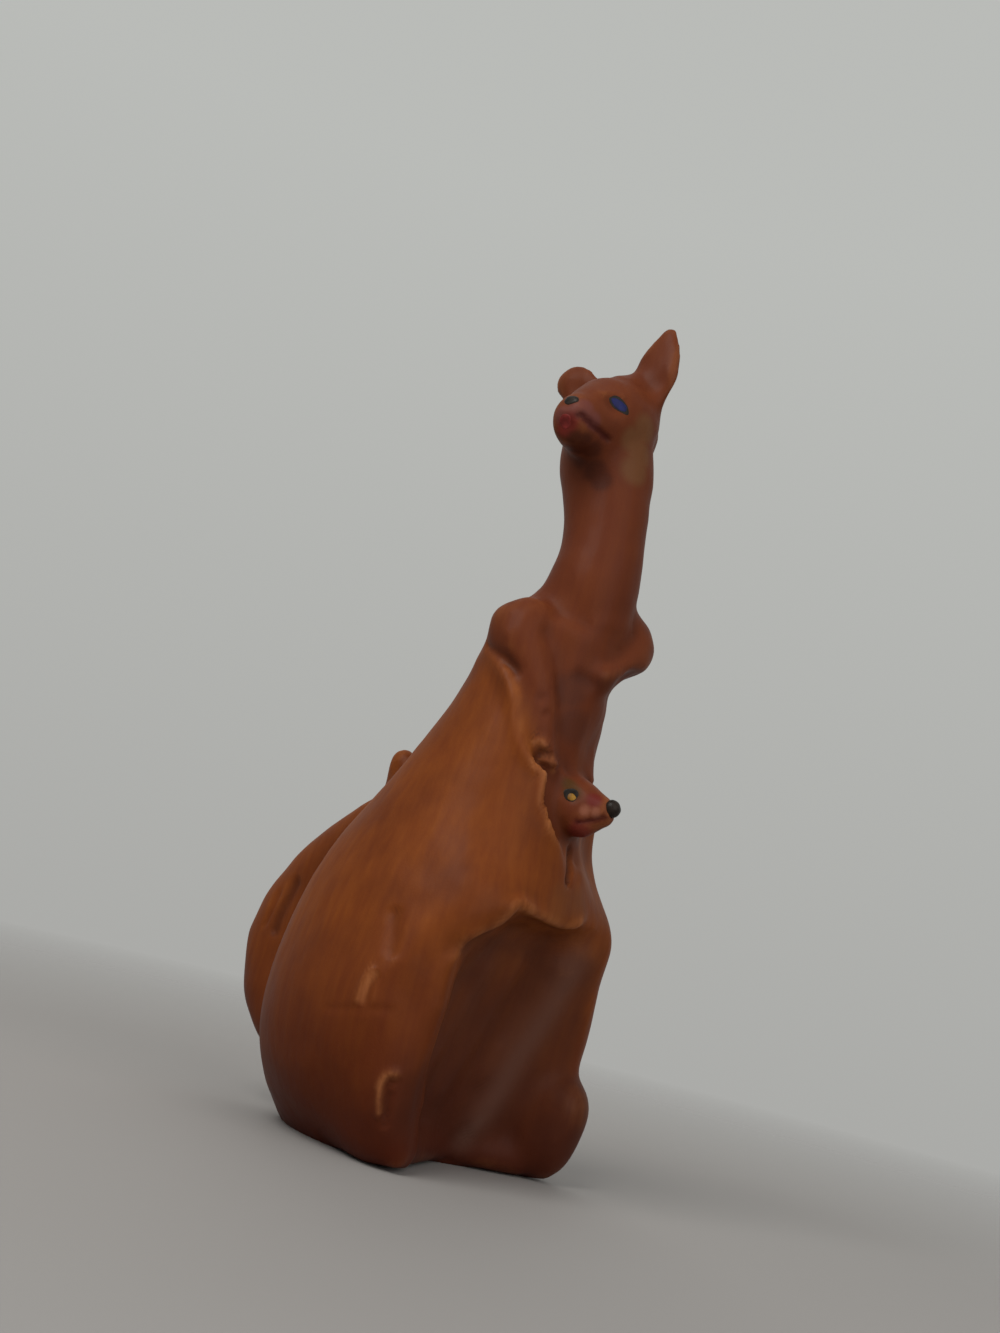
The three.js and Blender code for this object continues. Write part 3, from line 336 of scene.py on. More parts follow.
# Painted light: lighter tan on the cheek and the front of the pouch, where light falls
LIT_CHEEK = [
    ((-2.6, -15.9, 122.8), 3), ((-4.5, -15.1, 120.1), 2.6), ((-2.3, -15.9, 118.4), 3),
    ((-2.6, -15.6, 115.4), 3),
]
LIT_POUCH_FRONT = [((2.7, -20.5, 43.8), 3.5), ((-2.2, -20.6, 43.4), 3.5)]
# Painted shade on the left foot
FOOT_SHADE_SPOTS = [((18.3, -19, 14.3), 5), ((17.5, -17.5, 8), 5)]
# Painted shade under the chest, where the arms and head shade it
CHEST_SHADE = [((-5.5, -15, 76), 3.5), ((-4, -16.5, 71), 3.5)]
# Spots where the pale edges are dimmed
DIMMED_EDGES = [
    ((-12.7, -3.6, 79.1), 4), ((-13.5, -8, 76.3), 4), ((-13.4, -11, 72.5), 4), ((-12.9, -13.6, 66), 4),
]
JOEY_LIP = [((-2, -21, 58), 1.2), ((-1.4, -22.6, 58.2), 1)]
SPOT_FADE = (0.5, 1.2)  # shares of a spot's radius between which it fades
POUCH_LIGHT_SHARE = 0.3
FOOT_SHADE_SHARE = 0.6
DIMMED_EDGE_SHARE = 0.6

# Recesses, darkened with painted shade, and edges, told by the bend of the skin
BEND_ROUNDS = 5
RECESS_BEND = 0.22  # bend of a full recess
EDGE_BEND = 0.28  # bend by which the wear and painted highlight on edges are measured
EDGE_START = 0.15  # share taken off again, so that only the sharper edges show the wear and painted highlight

# The lap, darkened with painted shade, lies in front of this plane and under this height
LAP_FRONT = -4
LAP_TOP = 41
LAP_ROUNDS = 8
# Share of the lap's painted shade laid on the left foot
LAP_SHADE_ON_FOOT = 0.8
UPPER_NODES = [
    "chest", "neck", "arm_left", "arm_right", "head", "ear_left", "ear_right", "joey", "joey_ear_left",
    "joey_ear_right",
]
UPPER_ROUNDS = 6

# Clay colours
DARK_CLAY = (0.085, 0.018, 0.006, 1)
CLAY_COLOUR = (0.185, 0.043, 0.009, 1)
ORANGE_CLAY = (0.265, 0.073, 0.012, 1)
# Painted shade: the clay turns darker and redder towards the base, which faces away from the light
BASE_SHADE_CLAY = (0.075, 0.011, 0.004, 1)
# Upper lumps: partly their redder tone, partly painted shade on the chest and neck
UPPER_TONE_AND_SHADE_CLAY = (0.115, 0.026, 0.013, 1)
# Painted shade in the lap, on the left foot and under the chest
LAP_SHADE_CLAY = (0.06, 0.02, 0.013, 1)
# Painted sheen, a pale reflection
SHEEN_COLOUR = (0.15, 0.07, 0.05, 1)
# Painted light, a lighter tan
LIT_TAN_COLOUR = (0.17, 0.075, 0.03, 1)
# Painted shade in the recesses
RECESS_SHADE_CLAY = (0.035, 0.008, 0.004, 1)
# Pale edges: partly wear of the glaze, partly painted highlight
WEAR_AND_HIGHLIGHT_CLAY = (0.55, 0.21, 0.075, 1)
# Painted shade, a dark brown, in the throat, under the arm, in creases and hollows and on the feet
SHADE_COLOUR = (0.06, 0.015, 0.008, 1)
MUZZLE_MAUVE = (0.16, 0.05, 0.045, 1)
LIP_RED = (0.14, 0.016, 0.013, 1)
MOUTH_RED = (0.06, 0.009, 0.007, 1)
OLIVE = (0.075, 0.036, 0.008, 1)
SALMON = (0.3, 0.11, 0.065, 1)

# Tints laid on the clay in turn, under and over its pale edges of wear and painted highlight: shade, share
# and colour
UNDER_TINTS = [
    ("upper", 0.65, UPPER_TONE_AND_SHADE_CLAY),
    ("lap", 0.45, LAP_SHADE_CLAY),
    ("painted_sheen", 0.7, SHEEN_COLOUR),
    ("painted_light", 0.7, LIT_TAN_COLOUR),
    ("recess", 0.85, RECESS_SHADE_CLAY),
]
OVER_TINTS = [
    ("painted_shade", 0.75, SHADE_COLOUR),
    ("mauve", 0.7, MUZZLE_MAUVE),
    ("red", 0.85, LIP_RED),
    ("mouth", 0.9, MOUTH_RED),
    ("olive", 0.8, OLIVE),
    ("salmon", 0.8, SALMON),
]

# Grains: waves to a metre, detail and stretch
MOTTLE = (110, 4, (1, 1, 1))
STREAKS = (700, 4, (1, 1, 0.1))
FINE = (2600, 2, (1, 1, 1))
BRUSH = (900, 3, (1, 1, 0.4))

# Ramps: the range of the value read and the range that it becomes
CLAY_BLEND = (0.2, 0.6, 0.4, 1)
ORANGE_STREAKS = (0.25, 0.8, 0, 1)
ORANGE_MOTTLE = (0.3, 0.7, 0.25, 0.8)
# Painted shade towards the base, fading out over the lowest 34 mm
BASE_SHADE_FADE = (0, 34 * MM, 0.95, 0)
WEAR_AND_HIGHLIGHT_RAMP = (0.3, 0.7, 0.2, 0.8)
CLAY_ROUGHNESS = (0.3, 0.7, 0.45, 0.58)
ENAMEL_BLEND = (0.35, 0.65, 0, 1)
ENAMEL_ROUGHNESS = (0.3, 0.7, 0.34, 0.48)

# Surfaces
CLAY_RELIEF = 0.06
FINE_RELIEF = 0.3  # share of the fine grain in the relief
CLAY_GLOSS = {"Specular IOR Level": 0.08, "Coat Weight": 0.03, "Coat Roughness": 0.22}
ENAMEL_RELIEF = 0.03
ENAMEL_GLOSS = {"Specular IOR Level": 0.15, "Coat Weight": 0.03, "Coat Roughness": 0.15}

# Enamels: deep and bright colour
ENAMELS = {
    "black_enamel": ((0.009, 0.006, 0.004, 1), (0.02, 0.013, 0.009, 1)),
    "blue_enamel": ((0.007, 0.009, 0.065, 1), (0.015, 0.02, 0.13, 1)),
    "red_enamel": ((0.13, 0.014, 0.012, 1), (0.24, 0.03, 0.025, 1)),
    "gold_enamel": ((0.2, 0.09, 0.01, 1), (0.42, 0.22, 0.03, 1)),
}

# Dabs of enamel: half length, half width and rise, with a lift where one dab lies on another
EYE_RIM = (2.15, 1.15, 0.1)
EYE = (1.7, 0.85, 0.12)
JOEY_EYE_RIM = (1.25, 1.1, 0.1)
JOEY_EYE = (0.75, 0.65, 0.15)
NOSE = (1.4, 1, 0.25)
LIPS = (1.25, 1.1, 0.12)
ON_RIM = 0.1
ENAMEL_SINK = 0.25
DOME_SIDES = 28
DOME_RINGS = 7
BROAD_WOBBLE = 0.05
BROAD_WAVES = 3
FINE_WOBBLE = 0.03
FINE_WAVES = 5

# Ways along the dabs, and how far each lies from the middle of its CAD piece
EYE_ALONG = {"left": (-1, -0.1, 0.25), "right": (-1, 0.1, 0.25)}
JOEY_EYE_ALONG = (0, -1, 0)
NOSE_ALONG = (0, 1, 0)
LIPS_ALONG = (0, 0, 1)
EYE_BACK = Vector((1.1, 0, 0.5))
JOEY_RIM_BACK = Vector((0, 0.12, 0.15))
NOSE_UP = Vector((0.4, -0.45, 0.5))
LIPS_UP = Vector((0, 0, 0.7))

# The joey's nose is a ball
JOEY_NOSE_HALF = (1.4, 1.5, 1.4)
JOEY_NOSE_BACK = Vector((-0.1, 0.6, 0))
BALL_FINENESS = 4
SWELL = 0.08
SWELL_WAVES = 1.5

# Camera: place, turn and focal length worked out from the photograph
CAMERA_PLACE = (-184.9, -140.6, 32.8)
CAMERA_AZIMUTH = -52
CAMERA_LOOKS_UP = 11.5
CAMERA_ROLL = 14
CAMERA_NEAR = 10
FOCAL_PIXELS = 1400
PHOTO_HEIGHT = 1333
SENSOR = 36

# Backdrop, and the soft light from all round
BACKDROP_LOW = (0.4, 0.4, 0.385, 1)
BACKDROP_HIGH = (0.49, 0.5, 0.48, 1)
BACKDROP_FADE = (-0.1, 0.5, 0, 1)
LIGHT_FROM = (-0.6, 0, 0.8)
LIGHT_STRENGTH = (-1, 1, 0.1, 0.3)

# Floor
FLOOR_COLOUR = (0.36, 0.35, 0.34, 1)
FLOOR_ROUGHNESS = 0.7
FLOOR_RADIUS = 0.6
FLOOR_SIDES = 64
FLOOR_FADE = (0.1, 0.4, 1, 0)

# Lamps: place, size and power
LAMPS = {
    "key": ((-0.55, 0, 0.62), 0.45, 3.5),
    "fill": ((-0.2, -0.6, 0.3), 0.6, 1.6),
    "back": ((0.5, 0.4, 0.45), 0.6, 1.6),
}
LAMP_AIM = (0, 0, 0.07)
LAMP_COLOUR = (1, 0.97, 0.93)
NOT_MIRRORED = "back"  # the lamp that no gloss shows


def neighbour_mean(values, edges, degree):
    """Mean of a value over the neighbours of each point."""
    total = np.empty_like(values)
    near, far = edges.T
    for k in range(values.shape[1]):
        column = values[:, k]
        total[:, k] = np.bincount(near, column[far], len(values))
        total[:, k] += np.bincount(far, column[near], len(values))
    return total / degree[:, None]


class Skin:
    """A closed surface of quads, with its points in millimetres and the lump that owns each."""

    def __init__(self, points, quads, owner):
        self.points = points
        self.quads = quads
        self.owner = owner
        sides = np.concatenate([quads[:, [k, (k + 1) % 4]] for k in range(4)])
        self.edges = sides[sides[:, 0] < sides[:, 1]]
        self.degree = np.bincount(self.edges.ravel(), minlength=len(points))

    def soften(self, values, rounds):
        """Replaces a value at each point by the mean of its neighbours, some rounds over."""
        values = values.reshape(len(self.points), -1)
        for _ in range(rounds):
            values = neighbour_mean(values, self.edges, self.degree)
        return values.squeeze()

    def normals(self):
        corner = self.points[self.quads]
        face = np.cross(corner[:, 2] - corner[:, 0], corner[:, 3] - corner[:, 1])
        total = np.zeros_like(self.points)
        for k in range(4):
            for axis in range(3):
                total[:, axis] += np.bincount(self.quads[:, k], face[:, axis], len(total))
        return total / np.linalg.norm(total, axis=1)[:, None]

    def fair(self, weight, rounds):
        """Evens the surface out where a weight is given."""
        edges = self.edges[(weight > 0)[self.edges].any(axis=1)]
        used, edges = np.unique(edges, return_inverse=True)
        patch = self.points[used]
        pull = FAIRING_PULL * weight[used][:, None]
        for _ in range(rounds):
            patch += pull * (neighbour_mean(patch, edges.reshape(-1, 2), self.degree[used]) - patch)
        self.points[used] = patch

    def push(self, height):
        """Moves each point out along its normal."""
        self.points += height[:, None] * self.normals()

    def tree(self):
        return BVHTree.FromPolygons(self.points.tolist(), self.quads.tolist())

    def distance(self, spot):
        return np.linalg.norm(self.points - np.array(spot), axis=1)


def ease(low, high, value):
    share = np.clip((value - low) / (high - low), 0, 1)
    return share * share * (3 - 2 * share)


def new_object(name, data):
    made = bpy.data.objects.new(name, data)
    bpy.context.scene.collection.objects.link(made)
    return made


# Lumps

def node_mesh(node):
    """A CAD node as merged points in millimetres, their normals and triangles."""
    lump = bmesh.new()
    lump.from_mesh(frame["nodes"][node].data)
    bmesh.ops.remove_doubles(lump, verts=lump.verts, dist=MERGE * MM)
    bmesh.ops.triangulate(lump, faces=lump.faces)
    lump.normal_update()
    points = np.array([v.co for v in lump.verts]) / MM
    normals = np.array([v.normal for v in lump.verts])
    triangles = np.array([[v.index for v in f.verts] for f in lump.faces])
    lump.free()
    return points, normals, triangles


def unit_ball(fineness):
    """Points and triangles of a ball of radius 1."""
    lump = bmesh.new()
    bmesh.ops.create_icosphere(lump, subdivisions=fineness, radius=1)
    points = np.array([v.co for v in lump.verts])
    triangles = np.array([[v.index for v in f.verts] for f in lump.faces])
    lump.free()
    return points, triangles


def eased_line(line):
    """Points close together on a smooth curve through the points of a line."""
    line = np.array(line, float)
    ends = [2 * line[0] - line[1], *line, 2 * line[-1] - line[-2]]
    points = []
    for before, start, end, after in zip(ends, ends[1:], ends[2:], ends[3:]):
        count = max(2, int(np.linalg.norm(end - start) / LINE_STEP))
        for t in np.arange(count) / count:
            slope = (end - before) * t + (2 * before - 5 * start + 4 * end - after) * t ** 2
            points.append(start + (slope + (3 * start - before - 3 * end + after) * t ** 3) / 2)
    return np.array(points + [line[-1]])


def voxel_surface(points, triangles):
    """Points and quads of one surface round a heap of closed lumps."""
    mesh = bpy.data.meshes.new("lumps")
    mesh.from_pydata(points.tolist(), [], triangles.tolist())
    heap = new_object("lumps", mesh)
    remesh = heap.modifiers.new("remesh", "REMESH")
    remesh.mode = "VOXEL"
    remesh.voxel_size = VOXEL
    fused = heap.evaluated_get(bpy.context.evaluated_depsgraph_get()).to_mesh()
    spots = np.array([v.co for v in fused.vertices])
    quads = np.array([list(p.vertices) for p in fused.polygons])
    bpy.data.objects.remove(heap)
    bpy.data.meshes.remove(mesh)
    return spots, quads


def pressed_together():
    """One skin over all the lumps and rolls, with the slip between them filled."""
    lumps = []
    for index, node in enumerate(CLAY_NODES):
        spots, normals, faces = node_mesh(node)
        lumps.append((index, spots + SLIP_FILL * normals, faces))
    ball, faces = unit_ball(ROLL_FINENESS)
    for node, radius, line in ROLLS:
        for place in eased_line(line):
            lumps.append((CLAY_NODES.index(node), place + radius * ball, faces))
    starts = np.cumsum([0] + [len(spots) for _, spots, _ in lumps])
    points = np.concatenate([spots for _, spots, _ in lumps])
    triangles = np.concatenate([faces + start for start, (_, _, faces) in zip(starts, lumps)])
    lump_of = np.concatenate([np.full(len(faces), index) for index, _, faces in lumps])
    spots, quads = voxel_surface(points, triangles)
    tree = BVHTree.FromPolygons(points.tolist(), triangles.tolist())
    owner = np.array([lump_of[tree.find_nearest(p)[2]] for p in spots.tolist()])
    return Skin(spots, quads, owner)


# Marks on the skin

def near_line(skin, tree, line, reach):
    """Points near a line laid on the skin: which, how far, the share along it and the side of it."""
    hits = [tree.find_nearest(point) for point in eased_line(line).tolist()]
    path = np.array([hit[0] for hit in hits])
    out = np.array([hit[1] for hit in hits])
    inside = (skin.points > path.min(0) - reach) & (skin.points < path.max(0) + reach)
    near = np.flatnonzero(inside.all(1))
    gap = skin.points[near][:, None] - path[None]
    span = np.linalg.norm(gap, axis=2)
    closest = span.argmin(1)
    row = np.arange(len(near))
    across = np.cross(np.gradient(path, axis=0), out)
    across /= np.linalg.norm(across, axis=1)[:, None] + TINY
    side = np.einsum("ij,ij->i", gap[row, closest], across[closest])
    return near, span[row, closest], closest / (len(path) - 1), side


def line_height(skin, tree, line, width, taper=TAPER, step=False):
    """Height from 0 to 1 along a line, fading to its sides and ends, or from -1 to 1 across a step."""
    near, distance, share, side = near_line(skin, tree, line, LINE_REACH * width)
    height = np.zeros(len(skin.points))
    height[near] = np.exp(-((distance / width) ** 2)) * ease(0, taper, np.minimum(share, 1 - share))
    if step:
        height[near] *= np.tanh(STEP_STEEPNESS * side / width)
    return height


def sculpt(skin):
    """Smooths the joints between the lumps, then makes the marks of the tools."""
    tree = skin.tree()
    weight = np.array([FAIRING[node] for node in CLAY_NODES])[skin.owner]
    weight = skin.soften(weight, FAIRING_BLEND_ROUNDS)
    for line in (LAPEL, RIM):
        weight *= 1 - KEEP_SHARE * line_height(skin, tree, line, KEEP_REACH)
    weight *= ease(*FAIRED_ABOVE, skin.points[:, 2])
    skin.fair(weight, FAIRING_ROUNDS)
    for spot, radius, rounds in THUMBED:
        skin.fair(1 - ease(THUMB_CORE * radius, radius, skin.distance(spot)), rounds)
    tree = skin.tree()
    for width, height, line in RIDGES:
        skin.push(height * line_height(skin, tree, line, width))
    for width, height, line in STEPS:
        skin.push(height * line_height(skin, tree, line, width, step=True))
    for width, depth, line in GROOVES:
        skin.push(-depth * line_height(skin, tree, line, width))
    for spot, radius, depth in DENTS:
        skin.push(-depth * np.exp(-((skin.distance(spot) / radius) ** 2)))
    for wavelength, height in UNEVEN:
        skin.push(height * np.array([noise.noise(p / wavelength) for p in skin.points]))
    skin.points -= DRAWN_IN * skin.normals()
    skin.points = np.clip(skin.points, np.array(CAD_BOX[0]) / MM, np.array(CAD_BOX[1]) / MM)


# Shades of the skin

def spots_on(skin, spots):
    share = np.zeros(len(skin.points))
    full, none = SPOT_FADE
    for spot, radius in spots:
        share = np.maximum(share, 1 - ease(full * radius, none * radius, skin.distance(spot)))
    return share


def lines_on(skin, tree, marks):
    """The share of each line over the skin, one row to a line."""
    rows = [share * line_height(skin, tree, line, width, taper) for share, width, taper, line in marks]
    return np.array(rows)


def bend_of(skin):
    """How hollow the skin is at each point, or how rounded where it is negative."""
    bend = skin.soften(skin.points, 1) - skin.points
    return skin.soften(np.einsum("ij,ij->i", bend, skin.normals()) / VOXEL ** 2, BEND_ROUNDS)


def lap_shade_share(skin):
    """Share of painted shade in the hollow lap under the rim of the pouch, on the left foot and under the
    chest.
    """
    _, y, z = skin.points.T
    inside = (skin.owner == CLAY_NODES.index("body")) & (y < LAP_FRONT) & (z < LAP_TOP)
    share = np.maximum(inside, LAP_SHADE_ON_FOOT * (skin.owner == CLAY_NODES.index("foot_left")))
    return np.maximum(skin.soften(share, LAP_ROUNDS), spots_on(skin, CHEST_SHADE))


def upper_tone_and_shade_share(skin):
    """Share of each point in the upper lumps, whose darker mauve is partly their redder tone and partly
    painted shade.
    """
    upper = np.isin(skin.owner, [CLAY_NODES.index(node) for node in UPPER_NODES])
    return skin.soften(upper.astype(float), UPPER_ROUNDS)


def painted_shade_share(skin, tree):
    """Share of painted shade: in the throat, under the arm, in the hollows, the slit and the tail seam,
    under the rim and on the feet.
    """
    under_arm = lines_on(skin, tree, SHADE_UNDER_ARM)[0]
    painted_shade = np.maximum(spots_on(skin, THROAT_SHADE), under_arm) + lines_on(skin, tree, SHADED_LINES).sum(0)
    return painted_shade + FOOT_SHADE_SHARE * spots_on(skin, FOOT_SHADE_SPOTS)


def wear_and_highlight_share(skin, tree, bend):
    """Share of pale edges, partly wear of the glaze and partly painted highlight, on the rounded edges and
    along the ridge lines.
    """
    rounded = np.clip(-bend / EDGE_BEND - EDGE_START, 0, 1)
    rounded *= 1 - DIMMED_EDGE_SHARE * spots_on(skin, DIMMED_EDGES)
    return np.maximum(rounded, lines_on(skin, tree, WORN_AND_LIT_LINES).max(0))


def shades(skin):
    """Shares over the skin that the clay's material reads."""
    tree = skin.tree()
    bend = bend_of(skin)
    return {
        # painted shade in the recesses
        "recess": np.clip(bend / RECESS_BEND, 0, 1),
        # pale edges: wear and painted highlight
        "edge": wear_and_highlight_share(skin, tree, bend),
        # painted shade
        "painted_shade": painted_shade_share(skin, tree),
        # painted sheen
        "painted_sheen": lines_on(skin, tree, SHEEN_LINES).max(0),
        # painted light on the cheek and pouch
        "painted_light": np.maximum(spots_on(skin, LIT_CHEEK), POUCH_LIGHT_SHARE * spots_on(skin, LIT_POUCH_FRONT)),
        "olive": spots_on(skin, JOEY_BROW),
        "salmon": spots_on(skin, JOEY_LIP),
        # upper lumps: redder tone and painted shade
        "upper": upper_tone_and_shade_share(skin),
        "mauve": spots_on(skin, MUZZLE),
        # painted shade in the lap
        "lap": lap_shade_share(skin),
        "red": spots_on(skin, REDDENED),
        "mouth": lines_on(skin, tree, MOUTHS).max(0),
    }


# Materials

def wire(tree, kind, sockets, **settings):
    """A shader node with its sockets set to values or linked to the outputs given."""
    made = tree.nodes.new("ShaderNode" + kind)
    for name, value in settings.items():
        setattr(made, name, value)
    for name, value in sockets.items():
        if isinstance(value, bpy.types.NodeSocket):
            tree.links.new(value, made.inputs[name])
        else:
            made.inputs[name].default_value = value
    return made


def grain(tree, scale, detail, stretch):
    place = wire(tree, "TexCoord", {}).outputs["Object"]
    stretched = wire(tree, "Mapping", {"Vector": place, "Scale": stretch}).outputs["Vector"]
    return wire(tree, "TexNoise", {"Vector": stretched, "Scale": scale, "Detail": detail}).outputs["Fac"]


def ramp(tree, value, low, high, start, end):
    sockets = {"Value": value, "From Min": low, "From Max": high, "To Min": start, "To Max": end}
    return wire(tree, "MapRange", sockets).outputs["Result"]


def tint(tree, share, under, over):
    """A share of one colour over another, by the colour sockets of a Mix node."""
    sockets = {0: share, 6: under, 7: over}
    return wire(tree, "Mix", sockets, data_type="RGBA").outputs[2]


def math_node(tree, operation, one, other):
    return wire(tree, "Math", {0: one, 1: other}, operation=operation).outputs[0]


def product(tree, one, other):
    return math_node(tree, "MULTIPLY", one, other)


def attribute(tree, name):
    return wire(tree, "Attribute", {}, attribute_name=name).outputs["Fac"]


def tinted(tree, colour, tints):
    """A colour with tints laid on it where the skin carries their shades."""
    for name, share, over in tints:
        colour = tint(tree, product(tree, attribute(tree, name), share), colour, over)
    return colour


def new_material(name):
    material = bpy.data.materials.new(name)
    material.use_nodes = True
    return material, material.node_tree, material.node_tree.nodes["Principled BSDF"]


def finish_surface(tree, shader, colour, roughness, relief, depth, gloss):
    tree.links.new(colour, shader.inputs["Base Color"])
    tree.links.new(roughness, shader.inputs["Roughness"])
    bump = wire(tree, "Bump", {"Height": relief, "Distance": depth * MM, "Strength": 1})
    tree.links.new(bump.outputs["Normal"], shader.inputs["Normal"])
    for name, value in gloss.items():
        shader.inputs[name].default_value = value


def clay_material():
    material, tree, shader = new_material("satin_terracotta")
    mottle = grain(tree, *MOTTLE)
    streaks = grain(tree, *STREAKS)
    fine = grain(tree, *FINE)
    height = wire(tree, "SeparateXYZ", {0: wire(tree, "TexCoord", {}).outputs["Object"]}).outputs["Z"]
    orange = product(tree, ramp(tree, streaks, *ORANGE_STREAKS), ramp(tree, mottle, *ORANGE_MOTTLE))
    # Pale edges: partly wear of the glaze, partly painted highlight
    wear_and_highlight = product(tree, attribute(tree, "edge"), ramp(tree, streaks, *WEAR_AND_HIGHLIGHT_RAMP))
    colour = tint(tree, ramp(tree, mottle, *CLAY_BLEND), DARK_CLAY, CLAY_COLOUR)
    colour = tint(tree, orange, colour, ORANGE_CLAY)
    # Painted shade, darker towards the base
    colour = tint(tree, ramp(tree, height, *BASE_SHADE_FADE), colour, BASE_SHADE_CLAY)
    colour = tinted(tree, colour, UNDER_TINTS)
    colour = tint(tree, wear_and_highlight, colour, WEAR_AND_HIGHLIGHT_CLAY)
    colour = tinted(tree, colour, OVER_TINTS)
    roughness = ramp(tree, mottle, *CLAY_ROUGHNESS)
    relief = math_node(tree, "ADD", streaks, product(tree, fine, FINE_RELIEF))
    finish_surface(tree, shader, colour, roughness, relief, CLAY_RELIEF, CLAY_GLOSS)
    return material


def enamel_material(name, deep, bright):
    material, tree, shader = new_material(name)
    brush = grain(tree, *BRUSH)
    colour = tint(tree, ramp(tree, brush, *ENAMEL_BLEND), deep, bright)
    roughness = ramp(tree, brush, *ENAMEL_ROUGHNESS)
    finish_surface(tree, shader, colour, roughness, brush, ENAMEL_RELIEF, ENAMEL_GLOSS)
    return material


# Pieces

def add_piece(name, node, points, faces, material, normals=None):
    mesh = bpy.data.meshes.new(name)
    mesh.from_pydata((points * MM).tolist(), [], faces)
    mesh.polygons.foreach_set("use_smooth", [True] * len(mesh.polygons))
    if normals is not None:
        mesh.normals_split_custom_set_from_vertices(normals.tolist())
    mesh.materials.append(material)
    piece = new_object(name, mesh)
    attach(piece, BODY)
    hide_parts(node)
    return piece


def clay_piece(node, picked, skin, normals, marks, material):
    """The part of the skin that belongs to one lump, closed to a thin shell."""
    used, faces = np.unique(skin.quads[picked], return_inverse=True)
    faces = faces.reshape(-1, 4)
    count = len(used)
    outer = skin.points[used]
    out = normals[used]
    sides = np.concatenate([faces[:, [k, (k + 1) % 4]] for k in range(4)])
    open_sides = sides[~np.isin(sides @ (count, 1), sides @ (1, count))]
    start, end = open_sides.T
    rim = np.column_stack([end, start, start + count, end + count])
    points = np.concatenate([outer, outer - SHELL * out])
    faces = np.concatenate([faces, faces[:, ::-1] + count, rim]).tolist()
    both = np.concatenate([out, -out])
    piece = add_piece(f"{node}_clay", node, points, faces, material, both)
    for name, share in marks.items():
        values = np.tile(share[used], 2)
        piece.data.attributes.new(name, "FLOAT", "POINT").data.foreach_set("value", values)


def clay_pieces(skin):
    material = clay_material()
    labels = skin.soften(np.eye(len(CLAY_NODES))[skin.owner], LABEL_ROUNDS)
    label = labels[skin.quads].sum(axis=1).argmax(axis=1)
    normals = skin.normals()
    marks = shades(skin)
    for index, node in enumerate(CLAY_NODES):
        clay_piece(node, label == index, skin, normals, marks, material)


def dome_faces():
    """Faces of a dab: a domed top, a bottom and the wall round them, each in rings about a middle."""
    faces = []
    bottom = DOME_RINGS * DOME_SIDES + 1
    last = bottom - DOME_SIDES
    for k in range(DOME_SIDES):
        after = (k + 1) % DOME_SIDES
        faces += [[0, 1 + k, 1 + after], [bottom, bottom + 1 + after, bottom + 1 + k]]
        for ring in range(DOME_RINGS - 1):
            a = 1 + ring * DOME_SIDES + k
            b = 1 + ring * DOME_SIDES + after
            faces.append([a, a + DOME_SIDES, b + DOME_SIDES, b])
            faces.append([bottom + a, bottom + b, bottom + b + DOME_SIDES, bottom + a + DOME_SIDES])
        faces.append([last + after, last + k, bottom + last + k, bottom + last + after])
    return faces


def enamel_dab(node, slot, enamels, tree, spot, along, size, lift=0):
    """A brushed dab of enamel that lies on the skin and is highest in its middle."""
    half_long, half_wide, rise = size
    crown = lift + rise
    place, out, _, _ = tree.find_nearest(spot)
    along = (Vector(along) - out * out.dot(along)).normalized()
    across = out.cross(along)
    top = [place + out * crown]
    under = [place - out * ENAMEL_SINK]
    for ring in range(1, DOME_RINGS + 1):
        share = math.sin(math.pi / 2 * ring / DOME_RINGS)
        for k in range(DOME_SIDES):
            turn = 2 * math.pi * k / DOME_SIDES
            wobble = 1 + BROAD_WOBBLE * math.sin(BROAD_WAVES * turn + len(node))
            wobble += FINE_WOBBLE * math.sin(FINE_WAVES * turn)
            reach = along * (half_long * math.cos(turn)) + across * (half_wide * math.sin(turn))
            seat, normal, _, _ = tree.find_nearest(place + reach * share * wobble)
            top.append(seat + normal * crown * math.sqrt(1 - share ** 2))
            under.append(seat - normal * ENAMEL_SINK)
    add_piece(f"{node}_dab", node, np.array(top + under), dome_faces(), enamels[slot])


def middle_of(node):
    low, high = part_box(node)
    return (Vector(low) + Vector(high)) / (2 * MM)


def enamel_ball(node, slot, enamels, shift, half):
    """A ball of enamel, a little uneven from the brush."""
    points, faces = unit_ball(BALL_FINENESS)
    swell = np.array([noise.noise(p * SWELL_WAVES) for p in points])
    points *= (1 + SWELL * swell)[:, None]
    placed = points * half + np.array(middle_of(node) + shift)
    add_piece(f"{node}_ball", node, placed, faces.tolist(), enamels[slot], points)


def enamel_pieces(tree):
    enamels = {slot: enamel_material(slot, *colours) for slot, colours in ENAMELS.items()}

    def dab(node, slot, *shape):
        enamel_dab(node, slot, enamels, tree, *shape)

    for side in ("left", "right"):
        eye = middle_of(f"eye_{side}") + EYE_BACK
        dab(f"eye_rim_{side}", "black_enamel", eye, EYE_ALONG[side], EYE_RIM)
        dab(f"eye_{side}", "blue_enamel", eye, EYE_ALONG[side], EYE, ON_RIM)
        joey_eye = middle_of(f"joey_eye_{side}")
        dab(f"joey_eye_rim_{side}", "black_enamel", joey_eye + JOEY_RIM_BACK, JOEY_EYE_ALONG, JOEY_EYE_RIM)
        dab(f"joey_eye_{side}", "gold_enamel", joey_eye, JOEY_EYE_ALONG, JOEY_EYE, ON_RIM)
    dab("nose", "black_enamel", middle_of("nose") + NOSE_UP, NOSE_ALONG, NOSE)
    dab("lips", "red_enamel", middle_of("lips") + LIPS_UP, LIPS_ALONG, LIPS)
    enamel_ball("joey_nose", "black_enamel", enamels, JOEY_NOSE_BACK, JOEY_NOSE_HALF)


# Stage

